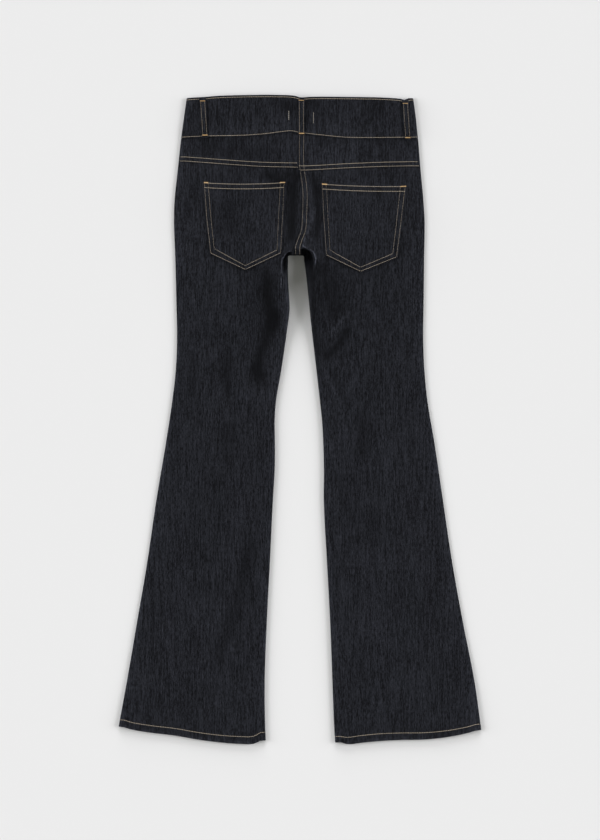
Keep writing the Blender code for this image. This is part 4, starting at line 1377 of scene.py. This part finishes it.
def sew_pocket(side):
    """Double rows round a pocket and along its hem."""
    sewing = Sewing()
    height_at = partial(pocket_height, side)
    outer, inner = POCKET_ROWS[side]
    for line, size in ((outer, 0.5), (inner, 0.44)):
        foot = int(np.argmax([down for _, down in line]))
        for half in (line[: foot + 1], line[foot:][::-1]):
            near_seat = abs(half[0][0]) < 60.0
            sewing.path(half[:-1], height_at, **{**PULLED_IN, "size": 0.32 if near_seat else size})
            sewing.path(half[-2:], height_at, size=0.72)
    across = np.linspace(outer[0][0], outer[-1][0], 40)
    for below in POCKET_HEM_ROWS:
        down = pocket_hem_down(side, across) + below
        sewing.path(list(zip(across.tolist(), down.tolist())), height_at)
    return sewing


def sew_loops():
    sewing = Sewing()
    for place in BACK_LOOPS:
        ends = [loop_middle(place, share) for share in LOOP_STITCH_ENDS]
        for aside in (-LOOP_STITCH, LOOP_STITCH):
            line = [(across + aside, down) for across, down in ends]
            sewing.path(line, partial(loop_height, place), **{**PULLED_IN, "size": 0.44})
    for side in SIDES:
        top, bottom = front_loop_ends(side)
        for aside in (-LOOP_STITCH, LOOP_STITCH):
            across = OUTWARD[side] * FRONT_LOOP_ACROSS + aside
            line = [(across, top + 3.0), (across, bottom - 3.0)]
            sewing.path(line, front_loop_face, facing=-1.0, **PULLED_IN)
    return sewing


def sew_fly():
    """The curved row beside the fly and the rows down the centre front, on the underside."""
    sewing = Sewing()
    top = SIDE_TOP + float(front_dip(-26.0)) + 2.0
    for inset in (0.0, 5.5):
        edge = FLY_EDGE + inset
        line = [(edge, top), (edge, top + 62.0), (edge + 4.0, top + 82.0)]
        line += [(edge + 12.0, top + 95.0 - inset), (-5.0, top + 103.0 - 1.4 * inset)]
        sewing.path(line, underside, facing=-1.0, curved=True)
    for aside in (-2.0, -8.0):
        downs = np.arange(SIDE_TOP + float(front_dip(0.0)) + 106.0, CROTCH - 14.0, 4.0)
        line = [(float(front_seam(down)) + aside, down) for down in downs]
        sewing.path(line, underside, facing=-1.0, curved=True)
    return sewing


def tack_all():
    sewing = Sewing()
    for side in SIDES:
        for (start, end), size in zip(POCKET_BARTACKS[side], (1.0, 0.8)):
            sewing.bartack(start, end, partial(pocket_height, side), size=size)
    for place in BACK_LOOPS:
        for share, size in zip(LOOP_TACKS[place], (0.62, 0.9)):
            across, down = loop_middle(place, share)
            start, end = (across - TACK_HALF, down), (across + TACK_HALF, down)
            sewing.bartack(start, end, partial(loop_height, place), size=size)
    return sewing


def tack_label():
    sewing = Sewing()
    for line, size in zip(LABEL_TACKS, (1.1, 0.78)):
        sewing.path(line, band_height, size=size, pitch=3.0, length=2.7)
    return sewing


def button_mesh():
    """Shank button: a dished face on the floor, a rolled rim and a shank up through the cloth."""
    shank_top = float(underside(BUTTON_ACROSS, BUTTON_DOWN)) + BAND_THICKNESS
    shank = [(radius, shank_top + height) for radius, height in BUTTON_SHANK]
    angles = 2.0 * math.pi * np.append(np.arange(BUTTON_SIDES), 0) / BUTTON_SIDES
    rows = []
    for radius, height in (*BUTTON_FACE, *BUTTON_BACK, *shank):
        across = BUTTON_ACROSS + radius * np.cos(angles)
        down = BUTTON_DOWN + radius * np.sin(angles)
        rows.append(np.stack([across, down, np.full(len(angles), height)], axis=1))
    return grid_mesh("button", np.array(rows))



def boxes_mesh(name, boxes):
    points = []
    faces = []
    for low, high in boxes:
        faces += [[len(points) + i for i in face] for face in BOX_FACES]
        points += product(*zip(low, high))
    mesh = bpy.data.meshes.new(name)
    mesh.from_pydata(world(points).tolist(), [], faces)
    return mesh


def add_shield(top, finishes):
    rows = []
    across = np.linspace(*SHIELD_ACROSS, 14)
    for down in np.linspace(top, top + FLY_LENGTH, 30):
        height = underside(across, down) + DENIM + SHIELD_LIFT
        rows.append(np.stack([across, np.full(14, down), height], axis=1))
    mesh = grid_mesh("shield", np.array(rows))
    shield = add_piece("fly_shield_cloth", mesh, finishes["denim"], "denim", "fly_shield")
    thicken(shield, DENIM)
    return shield


def add_zip(top, finishes):
    """Closed zip: the two tapes as one strip, and the teeth of both sides locked together."""
    rows = []
    teeth = []
    for down in np.arange(top, top + FLY_LENGTH - 6.0, TOOTH_PITCH):
        middle = float(front_seam(down)) - 4.0
        floor = max(float(underside(middle + x, down)) for x in (-TAPE_HALF, 0.0, TAPE_HALF)) + DENIM + 0.1
        across = np.linspace(middle - TAPE_HALF, middle + TAPE_HALF, 12)
        rows.append(np.stack([across, np.full(12, down), np.full(12, floor + TAPE_THICKNESS)], axis=1))
        for way in (-1.0, 1.0):
            shifted = down + 0.25 * TOOTH_PITCH * way
            low = (middle + min(0.6 * way, -1.9 * way) - 0.2, shifted - 0.32, floor + 0.75)
            high = (middle + max(0.6 * way, -1.9 * way) + 0.2, shifted + 0.32, floor + 1.6)
            teeth.append((low, high))
    mesh = grid_mesh("tape", np.array(rows))
    tape = add_piece("zip_tape_cloth", mesh, [finishes["tape"]] * 2, "zip_tape", "fly_zip")
    thicken(tape, TAPE_THICKNESS)
    chain = add_piece("zip_teeth", boxes_mesh("teeth", teeth), [finishes["metal"]], "button_metal")


def add_fly(finishes):
    """Shield and closed zip, hidden between the front and back of the jeans."""
    top = SIDE_TOP + float(front_dip(FRONT_EDGE)) + 2.0
    shield = add_shield(top, finishes)
    add_zip(top, finishes)


def nodes_of(name):
    made = bpy.data.materials.new(name)
    made.use_nodes = True
    tree = made.node_tree
    return made, tree, tree.nodes["Principled BSDF"]


def set_inputs(tree, node, values):
    """Set a node's inputs, or link them where a value is another node's output."""
    for key, value in values.items():
        if isinstance(value, bpy.types.NodeSocket):
            tree.links.new(value, node.inputs[key])
        else:
            node.inputs[key].default_value = value


def add_node(tree, kind, values, operation=None):
    node = tree.nodes.new("ShaderNode" + kind)
    if operation is not None:
        node.operation = operation
    set_inputs(tree, node, values)
    return node


def noise(tree, scale, detail=2.0):
    """Noise stretched along the axes."""
    place = scaled_place(tree, scale)
    return add_node(tree, "TexNoise", {"Vector": place, "Scale": 1.0, "Detail": detail}).outputs["Fac"]


def scaled_place(tree, scale, turn=0.0):
    """Place on the object, in metres, scaled along each axis."""
    place = add_node(tree, "TexCoord", {}).outputs["Object"]
    values = {"Vector": place, "Scale": scale, "Rotation": (0.0, 0.0, turn)}
    return add_node(tree, "Mapping", values).outputs["Vector"]


def sum_of(tree, *parts):
    """One, plus how far each value lies from one half times its weight."""
    total = 1.0 - 0.5 * sum(weight for _, weight in parts)
    for value, weight in parts:
        total = add_node(tree, "Math", {0: value, 1: weight, 2: total}, "MULTIPLY_ADD").outputs[0]
    return total


def tinted(tree, shader, shade, colour):
    """Base colour times a shade."""
    tint = add_node(tree, "VectorMath", {0: colour, "Scale": shade}, "SCALE")
    set_inputs(tree, shader, {"Base Color": tint.outputs[0]})


def denim_material(name, colour, contrast, sheen):
    """Rigid dark denim: slubby warp streaks down the cloth, and a fine right-hand twill."""
    made, tree, shader = nodes_of(name)
    long_streaks = noise(tree, (560.0, 34.0, 120.0))
    short_streaks = noise(tree, (820.0, 160.0, 200.0))
    grain = noise(tree, (900.0, 640.0, 700.0), 1.0)
    clump = noise(tree, (120.0, 14.0, 30.0))
    cloud = noise(tree, (20.0, 8.0, 10.0), 3.0)
    parts = ((long_streaks, 3.6), (short_streaks, 4.4), (grain, 2.2), (clump, 0.5), (cloud, 0.9))
    shade = sum_of(tree, *((value, weight * contrast) for value, weight in parts))
    kept = add_node(tree, "Clamp", {"Value": shade, "Min": 0.12, "Max": 4.0}).outputs[0]
    # each point's stored painted light and shade, with some wear, scales the colour: shade times (1 +
    # stored)
    paler = add_node(tree, "Attribute", {})
    paler.attribute_name = "wear_and_painted_light"
    wear_and_light = add_node(tree, "Math", {0: kept, 1: paler.outputs["Fac"], 2: kept}, "MULTIPLY_ADD")
    tinted(tree, shader, wear_and_light.outputs[0], colour)
    place = scaled_place(tree, (210.0, 210.0, 210.0), 0.9)
    twill = add_node(tree, "TexWave", {"Vector": place, "Scale": 1.0, "Distortion": 1.2, "Detail": 1.0})
    relief = sum_of(tree, (twill.outputs["Fac"], 0.5), (long_streaks, 1.0), (grain, 0.8))
    bump = add_node(tree, "Bump", {"Strength": 0.35, "Distance": 0.00025, "Height": relief})
    set_inputs(tree, shader, {"Normal": bump.outputs["Normal"]})
    set_inputs(tree, shader, {"Roughness": 0.92, "Specular IOR Level": 0.08})
    set_inputs(tree, shader, {"Sheen Weight": sheen, "Sheen Roughness": 0.6, "Sheen Tint": SHEEN_TINT})
    return made


def thread_material(name, colour, variation):
    made, tree, shader = nodes_of(name)
    fibre = noise(tree, (900.0, 900.0, 900.0))
    patch = noise(tree, (60.0, 60.0, 60.0), 1.0)
    tinted(tree, shader, sum_of(tree, (fibre, variation), (patch, variation)), colour)
    set_inputs(tree, shader, {"Roughness": 0.55, "Specular IOR Level": 0.3})
    return made


def ground_material():
    made, tree, shader = nodes_of("pale_ground")
    set_inputs(tree, shader, {"Base Color": GROUND_COLOUR, "Roughness": 1.0, "Specular IOR Level": 0.0})
    return made


def tape_material(name, colour):
    """Woven tape: fine ribs along its length and a little lint."""
    made, tree, shader = nodes_of(name)
    rib = noise(tree, (1400.0, 90.0, 300.0), 1.0)
    lint = noise(tree, (700.0, 700.0, 700.0))
    tinted(tree, shader, sum_of(tree, (rib, 1.2), (lint, 0.8)), colour)
    set_inputs(tree, shader, {"Roughness": 0.9})
    return made


def brass_material(name, colour):
    """Aged brass: brushed, darker and duller in patches."""
    made, tree, shader = nodes_of(name)
    patch = noise(tree, (260.0, 260.0, 260.0), 3.0)
    brushed = noise(tree, (2600.0, 200.0, 800.0), 1.0)
    tinted(tree, shader, sum_of(tree, (patch, 0.9), (brushed, 0.25)), colour)
    dull = add_node(tree, "MapRange", {"Value": patch, "To Min": 0.5, "To Max": 0.26})
    set_inputs(tree, shader, {"Roughness": dull.outputs["Result"], "Metallic": 1.0})
    return made


def make_finishes():
    face = denim_material("dark_denim", DENIM_COLOUR, 1.0, 0.05)
    inside = denim_material("denim_inside", INSIDE_COLOUR, 0.5, 0.1)
    return {
        "denim": [face, inside],
        "thread": thread_material("topstitch_thread", THREAD_COLOUR, 0.35),
        "ochre": thread_material("bartack_thread", OCHRE_COLOUR, 0.35),
        "pale": thread_material("label_thread", PALE_COLOUR, 0.4),
        "tape": tape_material("zip_tape_weave", TAPE_COLOUR),
        "metal": brass_material("aged_brass", BRASS_COLOUR),
    }


def add_panel(kind, side, grid, finishes, outside=True):
    """A panel of cloth in the place of its solid; outside is False for those that face the floor."""
    name = kind + "_" + side
    mesh = grid_mesh(kind, grid, flip=(side == "right") == outside, wear_and_light=outside)
    piece = add_piece(name + "_cloth", mesh, finishes["denim"], "denim", name)
    thicken(piece, DENIM)
    return piece


def add_panels(finishes):
    for side in SIDES:
        leg = add_panel("back_leg", side, back_leg_grid(side), finishes)
        front = add_panel("front_leg", side, front_leg_grid(side), finishes, outside=False)
        yoke = add_panel("back_yoke", side, yoke_grid(side), finishes)
        pocket = add_panel("back_pocket", side, pocket_grid(side), finishes)


def add_band_and_loops(finishes):
    denim = finishes["denim"]
    mesh = grid_mesh("waistband", band_grid(), closed=True, wear_and_light=True)
    band = add_piece("waistband_cloth", mesh, denim[:1], "denim", "waistband")
    for place in BACK_LOOPS:
        add_back_loop(place, denim[0])
    for side in SIDES:
        add_front_loop(side, denim[0])


def add_sewing(finishes):
    rows = {"stitches_waistband": sew_band(), "stitches_seat": sew_seat()}
    rows |= {"stitches_belt_loops": sew_loops(), "stitches_fly": sew_fly()}
    for side in SIDES:
        rows["stitches_hem_" + side] = sew_hem(side)
        rows["stitches_pocket_" + side] = sew_pocket(side)
    for name, sewing in rows.items():
        add_piece(name, sewing.mesh(name), [finishes["thread"]], "topstitch")
    add_piece("bartacks", tack_all().mesh("bartacks", TACK_RADIUS), [finishes["ochre"]], "bartack")
    label = tack_label().mesh("label_tacks", LABEL_TACK_RADIUS)
    add_piece("label_tacks", label, [finishes["pale"]], "topstitch")


def add_floor():
    bpy.ops.mesh.primitive_plane_add(size=8.0, location=(0.0, 0.0, 0.0))
    floor = bpy.context.object
    floor.name = "floor"
    floor.data.materials.append(ground_material())


def add_sun(name, azimuth, elevation, strength, angle):
    light = bpy.data.lights.new(name, "SUN")
    light.energy = strength
    light.color = SUN_COLOUR
    light.angle = math.radians(angle)
    lamp = bpy.data.objects.new(name, light)
    a = math.radians(azimuth)
    e = math.radians(elevation)
    towards = Vector((math.cos(a) * math.cos(e), math.sin(a) * math.cos(e), math.sin(e)))
    lamp.rotation_euler = towards.to_track_quat("Z", "Y").to_euler()
    bpy.context.scene.collection.objects.link(lamp)


def add_lights():
    for name, values in SUNS.items():
        add_sun(name, *values)
    room = bpy.data.worlds.new("room")
    room.use_nodes = True
    background = room.node_tree.nodes["Background"]
    set_inputs(room.node_tree, background, {"Color": ROOM_COLOUR, "Strength": ROOM_STRENGTH})
    bpy.context.scene.world = room


def add_camera():
    camera = bpy.data.cameras.new("camera")
    camera.sensor_width = CAMERA_SENSOR
    camera.lens = CAMERA_LENS
    camera.dof.use_dof = False
    placed = bpy.data.objects.new("camera", camera)
    placed.location = CAMERA_PLACE
    placed.rotation_euler = (0.0, 0.0, 0.0)
    bpy.context.scene.collection.objects.link(placed)
    bpy.context.scene.camera = placed


def main():
    view = bpy.context.scene.view_settings
    view.view_transform = "Standard"
    view.look = "None"
    finishes = make_finishes()
    add_floor()
    add_panels(finishes)
    add_band_and_loops(finishes)
    add_fly(finishes)
    add_piece("waist_button_metal", button_mesh(), [finishes["metal"]], "button_metal", "waist_button")
    add_sewing(finishes)
    add_lights()
    add_camera()
    bpy.context.view_layer.update()


main()
